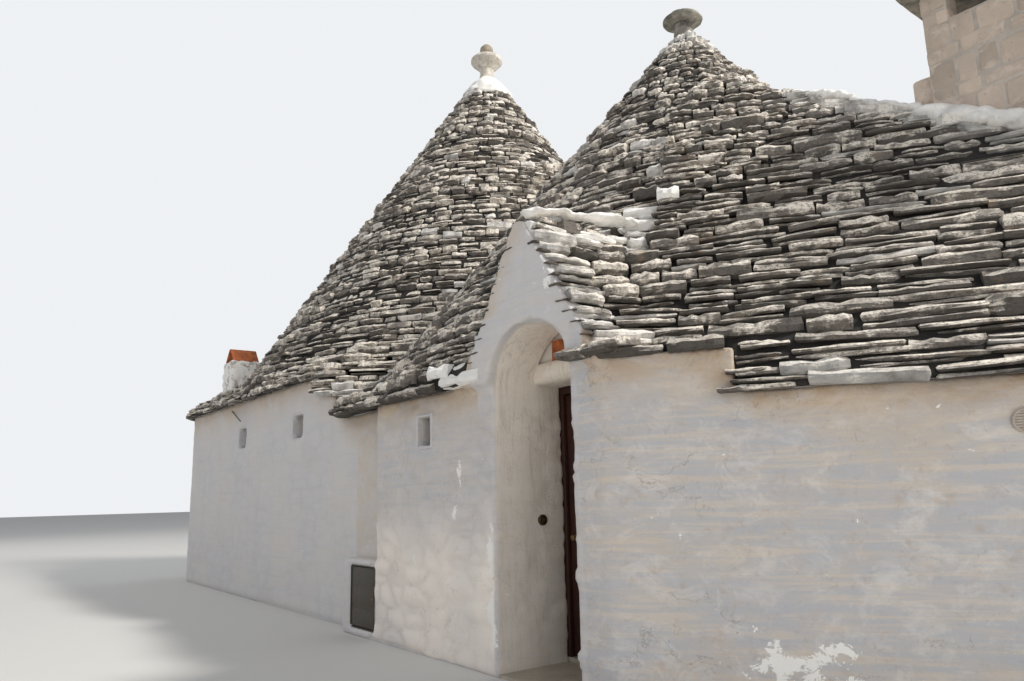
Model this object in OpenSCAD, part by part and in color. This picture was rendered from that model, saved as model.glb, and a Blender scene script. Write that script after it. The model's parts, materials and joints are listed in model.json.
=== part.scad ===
// A small trullo house: two dry-stone rooms under cones of stone slabs, joined side by side, with a
// gabled arched entrance in the middle of the front, and a low wing that turns away at an angle.
// X runs along the front to the right, Y goes into the house, Z is up. The origin is at ground level
// in the middle of the doorway, on the plane of the middle front wall.

/* [Domed rooms] */
// Side of the square left room
room_l = 4700; // [3600:50:5600]
// Thickness of the outer walls of the left room
wall_l = 1530; // [1250:10:1900]
// Side of the square entrance room
room_r = 4000; // [3200:50:4800]
// Thickness of the outer walls of the entrance room
wall_r = 1460; // [1250:10:1750]
// Thickness of the wall between the two domed rooms
cross_t = 520; // [400:10:800]
// From the middle of the doorway to the middle of the entrance room
door_off = 1270; // [1000:10:1500]
// How far the left wall stands behind the middle wall
set_back = 150; // [80:5:300]
// From the middle of the doorway to the step in the front wall
mid_left = 2260; // [2100:10:2600]
// Top of the left wall
left_h = 2560; // [2300:10:3000]
// Top of the middle wall
mid_h = 2050; // [1950:10:2250]
// Where the high left wall ends, to the left of the corner of the entrance room
high_end = 790; // [500:10:1000]
// Rounding of the outer corners
corner_r = 1200; // [600:50:1250]

/* [Cones] */
// Overhang of the slab roofs at the eaves
overhang = 120; // [60:5:200]
// Rise of the left cone above its eave, to its virtual tip
cone_h_l = 6090; // [4800:50:7300]
// Rise of the right cone above its eave, to its virtual tip
cone_h_r = 4570; // [3800:50:5500]
// Thickness of the corbelled inner domes
dome_t = 300; // [200:10:400]
// Rise of the low skirt of slabs for each metre inward
skirt_rise = 0.62; // [0.4:0.02:0.8]

/* [Wing] */
// From the middle of the doorway to the bend of the front
bend_x = 710; // [600:10:900]
// Angle by which the wing turns away
bend_a = 32.7; // [20:0.1:40]
// Length of the front of the wing
wing_len = 4200; // [3700:50:5200]
// Depth of the wing
wing_depth = 3300; // [2900:50:3800]
// Thickness of the walls of the wing
wing_t = 700; // [500:10:900]
// Top of the walls of the wing
wing_h = 1790; // [1600:10:1900]
// Rise of the roof of the wing for each metre inward
wing_rise = 1.13; // [0.9:0.01:1.3]
// Depth at which the ridge beside the cone runs
saddle_y = 2900; // [2600:10:3200]
// Thickness of the wall between the entrance room and the wing
side_t = 550; // [400:10:800]

/* [Entrance] */
// Width of the entrance niche
niche_w = 894; // [800:2:1000]
// Depth of the niche in front of the door
niche_d = 626; // [450:2:800]
// Rise of the arch above the top of the middle wall
arch_rise = 370; // [300:5:430]
// Depth of the arch in front of the lintel
arch_d = 400; // [250:10:440]
// Half the width of the gable
gable_w = 700; // [640:10:800]
// Rise of the gable above the top of the middle wall
gable_h = 1040; // [900:10:1200]
// Depth of the lintel and the wall above it
lintel_d = 580; // [400:10:600]
// Height of the lintel
lintel_h = 140; // [120:5:200]
// How far the passage behind the door is wider than the niche on each side
passage_more = 53; // [40:1:90]

/* [Door] */
// Thickness of the door leaf
leaf_t = 45; // [35:1:60]
// Depth of the door frame
frame_d = 74; // [60:1:100]
// Width of the posts of the door frame
post_w = 95; // [70:1:120]
// Gap round the door leaf
leaf_gap = 8; // [6:0.5:12]
// Height of the threshold
sill_h = 50; // [30:5:80]

/* [Windows and fittings] */
// Width and height of the left windows
win_l = [310, 270]; // [200:5:400]
// Middles of the left windows, from the middle of the left room
win_l_x = [-445, 1540]; // [-1500:5:1700]
// Height of the middles of the left windows
win_l_z = 2055; // [1700:5:2200]
// Width and height of the middle window
win_m = [205, 235]; // [150:5:300]
// Middle of the middle window, from the middle of the doorway
win_m_x = -1410; // [-1700:10:-1100]
// Height of the middle of the middle window
win_m_z = 1750; // [1500:5:1850]
// Depth of the outer part of a window opening
reveal = 420; // [250:10:600]
// Width and height of the meter cabinet
meter = [500, 560]; // [300:10:580]
// Diameter of the ventilation grille
vent_d = 110; // [80:5:160]

/* [Chimneys] */
// Width, depth and top of the large chimney
stack = [1200, 800, 4900]; // [700:10:5300]
// Left front corner of the large chimney
stack_at = [1610, 2950]; // [1500:10:3100]
// Width of the four piers on the large chimney
pier_w = 190; // [140:10:260]
// Height of the four piers on the large chimney
pier_h = 290; // [150:10:400]
// Width, depth and top of the small chimney
small_stack = [500, 500, 3560]; // [400:10:4000]
// Middle of the small chimney, from the left front corner of the house
small_at = [720, 800]; // [400:10:1200]

/* [Hidden] */
$fn = 96;
// Facets of the cones and domes
cone_fn = 240;
// Larger than the house, for cutting
BIG = 30000;
// Cuts run past a face by this much
over = 10;
// Gap between pieces of the wing that meet on its slanted faces
wing_gap = 0.3;

// Middles of the two domed rooms
cx_r = -door_off;
cy_r = wall_r + room_r / 2;
cx_l = cx_r - room_r / 2 - cross_t - room_l / 2;
cy_l = set_back + wall_l + room_l / 2;
// Inner faces of the entrance room and the left room
xr0 = cx_r - room_r / 2;
xr1 = cx_r + room_r / 2;
yr0 = wall_r;
yr1 = cy_r + room_r / 2;
xl0 = cx_l - room_l / 2;
xl1 = xr0 - cross_t;
yl0 = set_back + wall_l;
yl1 = cy_l + room_l / 2;
// Outer faces
x_left = xl0 - wall_l;
y_back_l = yl1 + wall_l;
y_back_r = yr1 + wall_r;
x_right = xr1 + wall_r;
x_high = xr0 - high_end;
// Cones; the right one bulges past the square of its walls a little
cone_more_r = 100;
cone_r_l = room_l / 2 + wall_l + overhang;
cone_r_r = room_r / 2 + wall_r + overhang + cone_more_r;
slope_l = cone_h_l / cone_r_l;
slope_r = cone_h_r / cone_r_r;
cap_r_l = 290;
stem_r_l = 140;
stem_r_r = 130;
// Directions of the wing
wing_u = [cos(bend_a), sin(bend_a)];
wing_n = [-sin(bend_a), cos(bend_a)];
wing_slope = atan(wing_rise);
wing_x0 = xr1 + side_t;
// Entrance
niche_r = (pow(niche_w / 2, 2) + pow(arch_rise, 2)) / (2 * arch_rise);
pass_w = niche_w / 2 + passage_more;
lintel_y = arch_d + lintel_d;
gable_over = 70;

// A point of the wing: along its front, and inward from its face
function wing_at(along, inward) = [bend_x, 0] + along * wing_u + inward * wing_n;

// Everything below a plane through a point that falls towards an azimuth
module under_plane(at, azimuth, slope)
    translate(at) rotate([0, 0, azimuth]) rotate([0, slope, 0])
        translate([-BIG / 2, -BIG / 2, -BIG]) cube(BIG);

// A block between two corners
module block(from, to) translate(from) cube(to - from);

// A prism on a plan outline from one height to another
module prism(from_z, to_z) translate([0, 0, from_z]) linear_extrude(to_z - from_z) children();

// A profile in X and Z, as thick as a stretch of Y
module profile_xz(from_y, to_y)
    translate([0, to_y, 0]) rotate([90, 0, 0]) linear_extrude(to_y - from_y) children();

// A rectangle with some of its corners rounded
module rounded_plan(x0, y0, x1, y1, r) {
    translate([x0 + r, y0]) square([x1 - x0 - 2 * r, y1 - y0]);
    translate([x0, y0 + r]) square([x1 - x0, y1 - y0 - 2 * r]);
    for (x = [x0 + r, x1 - r], y = [y0 + r, y1 - r]) translate([x, y]) circle(r);
}

module rect(x0, y0, x1, y1) translate([x0, y0]) square([x1 - x0, y1 - y0]);

// A strip of the wing in plan
module wing_strip(along0, inward0, along1, inward1)
    polygon([wing_at(along0, inward0), wing_at(along1, inward0),
             wing_at(along1, inward1), wing_at(along0, inward1)]);

// The plan behind the front face of the wing
module behind_wing_face(inward = 0) wing_strip(-BIG / 2, inward, BIG / 2, BIG / 2);

// A house-shaped block along a stretch of the wing, with its slopes parallel to the roof
module wing_gabled(inward, along0, along1, foot_z) {
    near = wing_at(0, inward);
    far = wing_at(0, wing_depth - inward);
    intersection() {
        prism(foot_z, BIG / 4) wing_strip(along0, inward, along1, wing_depth - inward);
        under_plane([near[0], near[1], wing_h], bend_a - 90, wing_slope);
        under_plane([far[0], far[1], wing_h], bend_a + 90, wing_slope);
    }
}

module wing_room_plan() intersection() {
    wing_strip(-wing_depth, wing_t + wing_gap, wing_len - wing_t - wing_gap, wing_depth - wing_t - wing_gap);
    rect(wing_x0 + wing_gap, -BIG / 2, BIG / 2, BIG / 2);
}

module side_wall_plan() difference() {
    intersection() {
        union() {
            rect(xr1, 0, x_right, yr1);
            intersection() {
                wing_strip(0, wing_depth - wing_t, wing_len, wing_depth);
                rect(wing_x0 - over, 0, BIG / 2, BIG / 2);
            }
        }
        behind_wing_face();
    }
    intersection() {
        wing_strip(-wing_depth, -over, wing_len + over, wing_depth - wing_t);
        rect(wing_x0, -BIG / 2, BIG / 2, BIG / 2);
    }
    wing_strip(wing_len - wing_t, -over, wing_len + over, wing_depth + over);
}

// Whole cones, from the eave to the virtual tip
module cone_l_full()
    translate([cx_l, cy_l, left_h]) cylinder(h = cone_h_l, r1 = cone_r_l, r2 = 0, $fn = cone_fn);
module cone_r_full()
    translate([cx_r, cy_r, mid_h]) cylinder(h = cone_h_r, r1 = cone_r_r, r2 = 0, $fn = cone_fn);

// A dome with nothing inside: its foot has the radius of the room and some thickness
module dome_solid(at, foot_z, r, slope, t) {
    foot = r + t / sin(atan(slope));
    translate([at[0], at[1], foot_z]) cylinder(h = foot * slope, r1 = foot, r2 = 0, $fn = cone_fn);
}
module dome_l_full() dome_solid([cx_l, cy_l], left_h, room_l / 2, slope_l, dome_t);
module dome_r_full() dome_solid([cx_r, cy_r], mid_h, room_r / 2, slope_r, dome_t);
module dome_l_void() dome_solid([cx_l, cy_l], left_h, room_l / 2, slope_l, 0);
module dome_r_void() dome_solid([cx_r, cy_r], mid_h, room_r / 2, slope_r, 0);

// The gable seen from the front, wider by some margin
module gable_profile(more = 0) {
    up = more * gable_h / gable_w;
    polygon([[-gable_w - more, mid_h], [gable_w + more, mid_h], [0, mid_h + gable_h + up]]);
}

// The masonry of the entrance above the walls, with its arch filled
module entrance_core() profile_xz(0, lintel_y) gable_profile();

// The room below the roof of the wing, and its corbelled vault
module wing_void() intersection() {
    wing_gabled(wing_t, -wing_depth, wing_len - wing_t + over, wing_h - over);
    block([wing_x0, -BIG / 2, 0], [BIG / 2, BIG / 2, BIG / 2]);
}

module stack_block() block([stack_at[0], stack_at[1], stack_foot], [stack_at[0] + stack[0],
                           stack_at[1] + stack[1], stack[2]]);
stack_foot = wing_h + (wing_depth / 2 - wing_t) * wing_rise + overhang;
flue = [500, 260];
module flue_hole(from_z, to_z)
    translate([stack_at[0] + stack[0] / 2 - flue[0] / 2, stack_at[1] + stack[1] / 2 - flue[1] / 2, from_z])
        cube([flue[0], flue[1], to_z - from_z]);

small_x = x_left + small_at[0];
small_y = set_back + small_at[1];
module small_block()
    block([small_x - small_stack[0] / 2, small_y - small_stack[1] / 2, left_h],
          [small_x + small_stack[0] / 2, small_y + small_stack[1] / 2, small_stack[2]]);

// An arched opening through a wall that stands across X
opening_w = 900;
opening_y = cy_r + 200;
module arched_way(x0, x1, y, w, top_z) {
    block([x0 - over, y - w / 2, -over], [x1 + over, y + w / 2, top_z - w / 2]);
    translate([x0 - over, y, top_z - w / 2]) rotate([0, 90, 0]) cylinder(h = x1 - x0 + 2 * over, r = w / 2);
}
cross_way_top = 1900;
side_way_w = 760;
side_way_y = yr0 + 900;
side_way_top = 1720;

// A window opening: narrow outside, wider inside
inner_more = 120;
module window_way(x, z, size, face_y, in_y) {
    half = size / 2;
    wide = half[0] + inner_more;
    foot = z - half[1] - over;
    top = z + half[1] + over;
    block([x - half[0], face_y - over, foot], [x + half[0], face_y + reveal + over, top]);
    block([x - wide, face_y + reveal, foot], [x + wide, in_y + over, top]);
}
// Heights between which the windows pass through a wall
band_l = [win_l_z - win_l[1] / 2, win_l_z + win_l[1] / 2];
band_m = [win_m_z - win_m[1] / 2, win_m_z + win_m[1] / 2];
module slice(z0, z1) intersection() {
    children();
    block([-BIG / 2, -BIG / 2, z0], [BIG / 2, BIG / 2, z1]);
}

// Walls of the left room
module left_front_mass() {
    block([xl0, set_back, 0], [xr0, yl0, mid_h]);
    block([xl0, set_back, mid_h - over], [x_high, yl0, left_h]);
}
module left_front_wall() color("white") slice(0, band_l[0]) left_front_mass();
// Both front walls at the height of their windows
module window_bands() color("white") {
    slice(band_l[0], band_l[1]) difference() {
        left_front_mass();
        for (x = win_l_x) window_way(cx_l + x, win_l_z, win_l, set_back, yl0);
    }
    slice(band_m[0], band_m[1]) difference() {
        mid_front_mass();
        window_way(win_m_x, win_m_z, win_m, 0, yr0);
    }
}
// Both front walls above their windows
module front_wall_tops() color("white") {
    slice(band_l[1], left_h) left_front_mass();
    slice(band_m[1], mid_h) mid_front_mass();
}
module left_end_wall() color("white") prism(0, left_h) intersection() {
    rounded_plan(x_left, set_back, xl1, y_back_l, corner_r);
    rect(x_left - over, set_back - over, xl0, y_back_l + over);
}
module left_back_wall() color("white") block([xl0, yl1, 0], [xr0, y_back_l, left_h]);
module cross_wall() color("white") difference() {
    block([xl1, yl0, 0], [xr0, yl1, left_h]);
    arched_way(xl1, xr0, opening_y, opening_w, cross_way_top);
    dome_r_full();
}

// Walls of the entrance room
module mid_front_mass() difference() {
    union() {
        block([xr0, set_back, 0], [-niche_w / 2, yr0, mid_h]);
        block([-mid_left, 0, 0], [-niche_w / 2, set_back + over, mid_h]);
    }
    block([-pass_w, niche_d, -over], [0, yr0 + over, mid_h + over]);
}
module mid_front_wall() color("white") slice(0, band_m[0]) mid_front_mass();
module right_jamb() color("white") prism(0, mid_h) difference() {
    intersection() {
        rect(niche_w / 2, 0, xr1, yr0);
        behind_wing_face();
    }
    rect(0, niche_d, pass_w, yr0 + over);
}
module right_side_wall() color("white") prism(0, mid_h) difference() {
    side_wall_plan();
    side_way_plan(over);
}
module side_way_plan(more)
    rect(xr1 - more, side_way_y - side_way_w / 2, wing_x0 + more, side_way_y + side_way_w / 2);
module side_way_arch() color("white") difference() {
    prism(side_way_top - side_way_w / 2, mid_h) side_way_plan(0);
    arched_way(xr1, wing_x0, side_way_y, side_way_w, side_way_top);
}
module right_back_wall() color("white") prism(0, mid_h) intersection() {
    rounded_plan(xr0 - BIG / 4, 0, x_right, y_back_r, corner_r);
    rect(xr0, yr1, x_right + over, y_back_r + over);
}

// Walls of the wing
module vent_hole(r, from, to)
    translate([wing_at(vent_along, from)[0], wing_at(vent_along, from)[1], vent_z])
        rotate([0, 0, bend_a]) rotate([-90, 0, 0]) cylinder(h = to - from, r = r);
vent_along = 2200;
vent_z = 1540;
vent_rim = 10;
module wing_front_wall() color("white") difference() {
    prism(0, wing_h) intersection() {
        wing_strip(0, 0, wing_len - wing_t - wing_gap, wing_t);
        rect(wing_x0, -BIG / 2, BIG / 2, BIG / 2);
    }
    vent_hole(vent_d / 2 - vent_rim, -over, wing_t + over);
}
module wing_end_wall() color("white") difference() {
    wing_gabled(0, wing_len - wing_t, wing_len, 0);
    stack_block();
}

// Floors
floor_t = 50;
module left_floor() color("tan") {
    block([xl0, yl0, 0], [xl1, yl1, floor_t]);
    block([xl1 - over, opening_y - opening_w / 2, 0], [xr0, opening_y + opening_w / 2, floor_t]);
}
module right_floor() color("tan") {
    block([xr0, yr0, 0], [xr1, yr1, floor_t]);
    block([xr1 - over, side_way_y - side_way_w / 2, 0], [wing_x0, side_way_y + side_way_w / 2, floor_t]);
}
module wing_floor() color("tan") prism(0, floor_t) wing_room_plan();
niche_floor_t = 20;
niche_floor_out = 5;
module threshold() color("tan") {
    block([-pass_w, niche_d, 0], [pass_w, yr0, sill_h]);
    block([-niche_w / 2, -niche_floor_out, 0], [niche_w / 2, niche_d + over, niche_floor_t]);
}

// Entrance
module gable_wall() color("white") difference() {
    profile_xz(0, arch_d) gable_profile();
    translate([0, -over, mid_h + arch_rise - niche_r]) rotate([-90, 0, 0])
        cylinder(h = arch_d + 2 * over, r = niche_r);
}
module lintel() color("white") profile_xz(arch_d, lintel_y) intersection() {
    gable_profile();
    rect(-BIG, mid_h, BIG, mid_h + lintel_h);
}
module tympanum() color("wheat") profile_xz(arch_d, lintel_y) intersection() {
    gable_profile();
    rect(-BIG, mid_h + lintel_h, BIG, BIG);
}

// Roof of the left room
// Height where the quarters of the left dome end and its top begins
dome_split = left_h + 1940;
module dome_l_shell() difference() {
    dome_l_full();
    dome_l_void();
}
// The front and back quarters of the dome reach from quarter[0] to quarter[1] from its middle;
// the skew keeps their sides off the corners of its facets
quarter = [100, 6000];
skew = 1.01;
module dome_quarters() translate([cx_l, cy_l, 0]) linear_extrude(dome_split) for (side = [-1, 1])
    polygon([[quarter[0], side * skew * quarter[0]], [quarter[1], side * skew * quarter[1]],
             [-quarter[1], side * skew * quarter[1]], [-quarter[0], side * skew * quarter[0]]]);
module left_dome() color("gray") intersection() {
    dome_l_shell();
    dome_quarters();
}
module left_dome_sides() color("gray") difference() {
    slice(0, dome_split) dome_l_shell();
    dome_quarters();
}
module left_dome_top() color("gray") slice(dome_split, BIG) dome_l_shell();
cut_l = round(left_h + cone_h_l - cap_r_l * slope_l);
module left_cone() color("darkgray") difference() {
    cone_l_full();
    dome_l_full();
    dome_r_full();
    translate([cx_l, cy_l, cut_l]) cylinder(h = BIG, r = cone_r_l);
}
skirt_top = 900;
module left_skirt() color("darkgray") difference() {
    intersection() {
        prism(left_h, left_h + skirt_top) difference() {
            rounded_plan(x_left - overhang, set_back - overhang, xr0 + 2 * corner_r,
                         y_back_l + overhang, corner_r + overhang);
            rect(x_high, 0, BIG, cy_l);
            rect(xr0, 0, BIG, BIG);
        }
        under_plane([0, set_back - overhang, left_h], -90, atan(skirt_rise));
        under_plane([0, y_back_l + overhang, left_h], 90, atan(skirt_rise));
        under_plane([x_left - overhang, 0, left_h], 180, atan(skirt_rise));
    }
    cone_l_full();
    cone_r_full();
    small_block();
}
cap_h_l = round((cap_r_l - stem_r_l) * slope_l);
module left_cap() color("white") translate([cx_l, cy_l, cut_l])
    cylinder(h = cap_h_l, r1 = cap_r_l, r2 = stem_r_l);
cap_top_l = cut_l + cap_h_l;
// A stem that opens into a dish, and a ball on top
pinnacle_h = 480;
ball_r = 118;
ball_in = 23;
module left_pinnacle() color("wheat") translate([cx_l, cy_l, cap_top_l]) rotate_extrude()
    polygon([[0, 0], [stem_r_l - 15, 0], [stem_r_l - 30, 180], [150, 215], [262, 330], [262, 375],
             [200, 440], [105, pinnacle_h], [0, pinnacle_h]]);
module left_ball() color("wheat") translate([cx_l, cy_l, cap_top_l + pinnacle_h]) intersection() {
    translate([0, 0, ball_r - ball_in]) sphere(ball_r);
    cylinder(h = 3 * ball_r, r = 2 * ball_r);
}

// Roof of the entrance room
module right_dome() color("gray") difference() {
    dome_r_full();
    dome_r_void();
}
cut_r = round(mid_h + cone_h_r - stem_r_r * slope_r);
module right_cone() color("darkgray") difference() {
    cone_r_full();
    dome_r_full();
    cone_l_full();
    entrance_core();
    wing_void();
    stack_block();
    flue_hole(wing_h, stack_foot + over);
    wing_gabled(0, wing_len - wing_t, wing_len + over, 0);
    // The walls and the room on the left are higher than the foot of this cone
    block([xl0, set_back, 0], [x_high, yl0 + over, left_h]);
    block([xl0, yl0, 0], [xr0, y_back_l, left_h]);
    // Its foot keeps to the eave and behind the gable
    block([-BIG / 2, -BIG / 2, 0], [BIG / 2, -overhang, BIG]);
    profile_xz(-BIG, 0) gable_profile(gable_over);
    translate([cx_r, cy_r, cut_r]) cylinder(h = BIG, r = cone_r_r);
}
module right_skirt() color("darkgray") difference() {
    intersection() {
        prism(mid_h, mid_h + skirt_top) intersection() {
            difference() {
                rounded_plan(x_high - BIG / 4, -overhang, x_right + overhang, y_back_r + overhang,
                             corner_r + overhang);
                rect(-BIG, -BIG, x_high, BIG);
                rect(-BIG, yl0, xr0, BIG);
                rect(0, -BIG, BIG, cy_r);
            }
            behind_wing_face(-overhang);
        }
        under_plane([0, -overhang, mid_h], -90, atan(skirt_rise));
        under_plane([0, y_back_r + overhang, mid_h], 90, atan(skirt_rise));
        under_plane([x_right + overhang, 0, mid_h], 0, atan(skirt_rise));
    }
    cone_l_full();
    cone_r_full();
    profile_xz(-BIG, BIG / 8) gable_profile(gable_over);
    wing_roof_mass();
    wing_void();
    stack_block();
    flue_hole(wing_h, stack_foot + over);
}
stem_h_r = 235;
stem_top_r = 95;
module right_stem() color("darkgray") translate([cx_r, cy_r, cut_r])
    cylinder(h = stem_h_r, r1 = stem_r_r, r2 = stem_top_r);
module right_disc() color("darkgray") translate([cx_r, cy_r, cut_r + stem_h_r]) rotate_extrude()
    polygon([[0, 0], [150, 0], [232, 22], [232, 62], [190, 84], [0, 92]]);

// The gable's own roof, which runs back to the right cone
gable_back = 1700;
module gable_roof() color("darkgray") difference() {
    profile_xz(-gable_over, gable_back) gable_profile(gable_over);
    entrance_core();
    cone_r_full();
    dome_r_full();
    profile_xz(-BIG, 0) gable_profile();
}
saddle_t = 30;
saddle_w = 230;
module saddle_band() profile_xz(-gable_over - 10, gable_back) intersection() {
    difference() {
        gable_profile(gable_over + saddle_t);
        gable_profile(gable_over);
    }
    rect(-saddle_w, mid_h, saddle_w, BIG);
}
module gable_saddle() color("white") difference() {
    saddle_band();
    cone_r_full();
}

// Roof of the wing, with the saddle that climbs beside the cone
module wing_front_plane() {
    foot = wing_at(0, -overhang);
    under_plane([foot[0], foot[1], wing_h], bend_a - 90, wing_slope);
}
saddle_x = -450;
// The plane of the wing's roof touches the cone along a line at this distance along the wing
touch_along = [cx_r - bend_x, cy_r] * wing_u;
// Beside the gable the roof goes further left, up to this far inward
shoulder_in = 900;
saddle_z = wing_h + (saddle_y * cos(bend_a) + overhang) * wing_rise;
module wing_roof_plan() {
    wing_strip(touch_along, -overhang, BIG / 2, BIG / 2);
    intersection() {
        wing_strip(-wing_len, -overhang, touch_along + over, shoulder_in);
        rect(0, -overhang, BIG, BIG);
    }
}
module wing_roof_mass() intersection() {
    wing_front_plane();
    union() {
        intersection() {
            under_plane([wing_at(0, wing_depth + overhang)[0], wing_at(0, wing_depth + overhang)[1], wing_h],
                        bend_a + 90, wing_slope);
            prism(wing_h, BIG / 4) intersection() {
                wing_roof_plan();
                wing_strip(-wing_len, -overhang, wing_len, wing_depth + overhang);
            }
        }
        intersection() {
            under_plane([bend_x, saddle_y, saddle_z], 90 - bend_a, wing_slope);
            prism(wing_h, BIG / 4) intersection() {
                wing_roof_plan();
                rect(saddle_x, -overhang, x_right + overhang, y_back_r - corner_r);
            }
        }
    }
    difference() {
        block([saddle_x, -BIG / 2, wing_h], [BIG / 2, BIG / 2, BIG / 4]);
        block([saddle_x - over, -BIG / 2, 0], [wing_x0, BIG / 2, mid_h]);
    }
}
module wing_roof() color("darkgray") difference() {
    wing_roof_mass();
    cone_r_full();
    cone_l_full();
    profile_xz(-BIG, BIG / 8) gable_profile(gable_over);
    saddle_band();
    prism(0, mid_h) union() {
        side_wall_plan();
        rect(-BIG, yr1 - over, BIG, BIG);
    }
    wing_void();
    wing_gabled(0, wing_len - wing_t, wing_len + over, 0);
    stack_block();
    flue_hole(wing_h, stack_foot + over);
}

// Large chimney
module chimney_stack() color("tan") difference() {
    stack_block();
    flue_hole(stack_foot - over, stack[2] + over);
}
module chimney_piers() color("tan")
    for (x = [0, stack[0] - pier_w], y = [0, stack[1] - pier_w])
        translate([stack_at[0] + x, stack_at[1] + y, stack[2]]) cube([pier_w, pier_w, pier_h]);
cap_over = 150;
cap_t = 80;
module chimney_cap() color("gray")
    translate([stack_at[0] - cap_over, stack_at[1] - cap_over, stack[2] + pier_h])
        cube([stack[0] + 2 * cap_over, stack[1] + 2 * cap_over, cap_t]);

// Small chimney
small_flue = 220;
small_flue_deep = 500;
module small_chimney() color("white") difference() {
    small_block();
    translate([small_x - small_flue / 2, small_y - small_flue / 2, small_stack[2] - small_flue_deep])
        cube([small_flue, small_flue, small_flue_deep + over]);
}
// Two tiles that lean against each other, seen from the front as a pointed arch
cover_t = 22;
cover_lean = 50;
cover_in = 30;
cover_foot = cover_t / sin(cover_lean);
cover_run = small_stack[0] / 2 - cover_in - cover_foot - 2;
function cover_top(x) = [x - cover_run, cover_run * tan(cover_lean)];
module small_chimney_tiles() color("peru")
    translate([small_x, small_y + small_stack[1] / 2 - cover_in, small_stack[2]])
        for (side = [0, 1]) mirror([side, 0, 0]) translate([small_stack[0] / 2 - cover_in - cover_foot, 0, 0])
            rotate([90, 0, 0]) linear_extrude(small_stack[1] - 2 * cover_in)
                polygon([[0, 0], [cover_foot, 0], cover_top(cover_foot), cover_top(0)]);

// Windows
window_bar = 22;
window_depth = 40;
pane_y = [14, 20];
window_in = 60;
module one_window(x, z, size, y, solid) {
    half = size / 2;
    inner = half - [window_bar, window_bar];
    if (solid == "frame") difference() {
        block([x - half[0], y, z - half[1]], [x + half[0], y + window_depth, z + half[1]]);
        block([x - inner[0], y - over, z - inner[1]], [x + inner[0], y + window_depth + over, z + inner[1]]);
    }
    else block([x - inner[0], y + pane_y[0], z - inner[1]], [x + inner[0], y + pane_y[1], z + inner[1]]);
}
module all_windows(solid) {
    for (x = win_l_x) one_window(cx_l + x, win_l_z, win_l, set_back + reveal - window_in, solid);
    one_window(win_m_x, win_m_z, win_m, reveal - window_in, solid);
}
module window_frames() color("gainsboro") all_windows("frame");
module window_panes() color("lightsteelblue") all_windows("pane");

// Door
frame_in = pass_w - post_w;
frame_top = mid_h - 70;
hinge_x = frame_in - 1;
hinge_y = niche_d + frame_d + 12;
pin_r = 6;
pin_fit = 0.5;
barrel_r = 11;
barrel_h = 90;
bracket_h = 12;
hinge_z = [330, 1620];
module door_frame() color("saddlebrown") difference() {
    block([-pass_w, niche_d, sill_h], [pass_w, niche_d + frame_d, mid_h]);
    block([-frame_in, niche_d - over, sill_h - over], [frame_in, niche_d + frame_d + over, frame_top]);
}
module door_hinges() color("dimgray") for (z = hinge_z) {
    block([hinge_x - 8, niche_d + frame_d, z - bracket_h], [hinge_x + 60, hinge_y + 8, z]);
    translate([hinge_x, hinge_y, z - bracket_h]) cylinder(h = barrel_h + bracket_h, r = pin_r);
}
leaf_x0 = -frame_in + leaf_gap;
leaf_x1 = frame_in - leaf_gap;
leaf_y0 = niche_d + frame_d - leaf_t;
leaf_y1 = niche_d + frame_d;
module door_leaf() color("saddlebrown") difference() {
    union() {
        block([leaf_x0, leaf_y0, sill_h + leaf_gap], [leaf_x1, leaf_y1, frame_top - leaf_gap]);
        for (z = hinge_z) {
            translate([hinge_x, hinge_y, z + pin_fit]) cylinder(h = barrel_h, r = barrel_r);
            block([hinge_x - 160, leaf_y1 - 1, z + 20], [hinge_x - barrel_r / 2, leaf_y1 + 6, z + 60]);
        }
    }
    for (z = hinge_z)
        translate([hinge_x, hinge_y, z - 1]) cylinder(h = barrel_h + 3, r = pin_r + pin_fit);
}
handle_x = -330;
handle_z = 900;
module door_handle() color("goldenrod") translate([handle_x, leaf_y0, handle_z]) rotate([90, 0, 0]) {
    cylinder(h = 8, r = 24);
    cylinder(h = 34, r = 9);
    translate([0, 0, 34]) cylinder(h = 16, r = 20);
}

// Meter cabinet
meter_x0 = -mid_left - 40 - meter[0];
meter_z0 = 60;
meter_wall = 12;
meter_gap = 8;
meter_pin_in = 18;
meter_pin_r = 3;
block_h = 650;
module meter_block() color("white") difference() {
    block([meter_x0 - 150, 0, 0], [-mid_left, set_back, block_h]);
    block([meter_x0, -over, meter_z0], [meter_x0 + meter[0], set_back + over, meter_z0 + meter[1]]);
}
module meter_pins(r, more)
    for (z = [meter_z0 + meter_wall, meter_z0 + meter[1] - meter_wall - meter_gap - 12 - more])
        translate([meter_x0 + meter_wall + meter_pin_in, 8, z])
            cylinder(h = meter_gap + 12 + more, r = r);
module meter_box() color("dimgray") {
    difference() {
        block([meter_x0, 0, meter_z0], [meter_x0 + meter[0], set_back, meter_z0 + meter[1]]);
        block([meter_x0 + meter_wall, -over, meter_z0 + meter_wall],
              [meter_x0 + meter[0] - meter_wall, set_back - meter_wall, meter_z0 + meter[1] - meter_wall]);
    }
    meter_pins(meter_pin_r, 0);
}
module meter_door() color("dimgray") difference() {
    edge = meter_wall + meter_gap;
    block([meter_x0 + edge, 2, meter_z0 + edge], [meter_x0 + meter[0] - edge, 14, meter_z0 + meter[1] - edge]);
    meter_pins(meter_pin_r + 0.4, 2);
}

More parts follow.
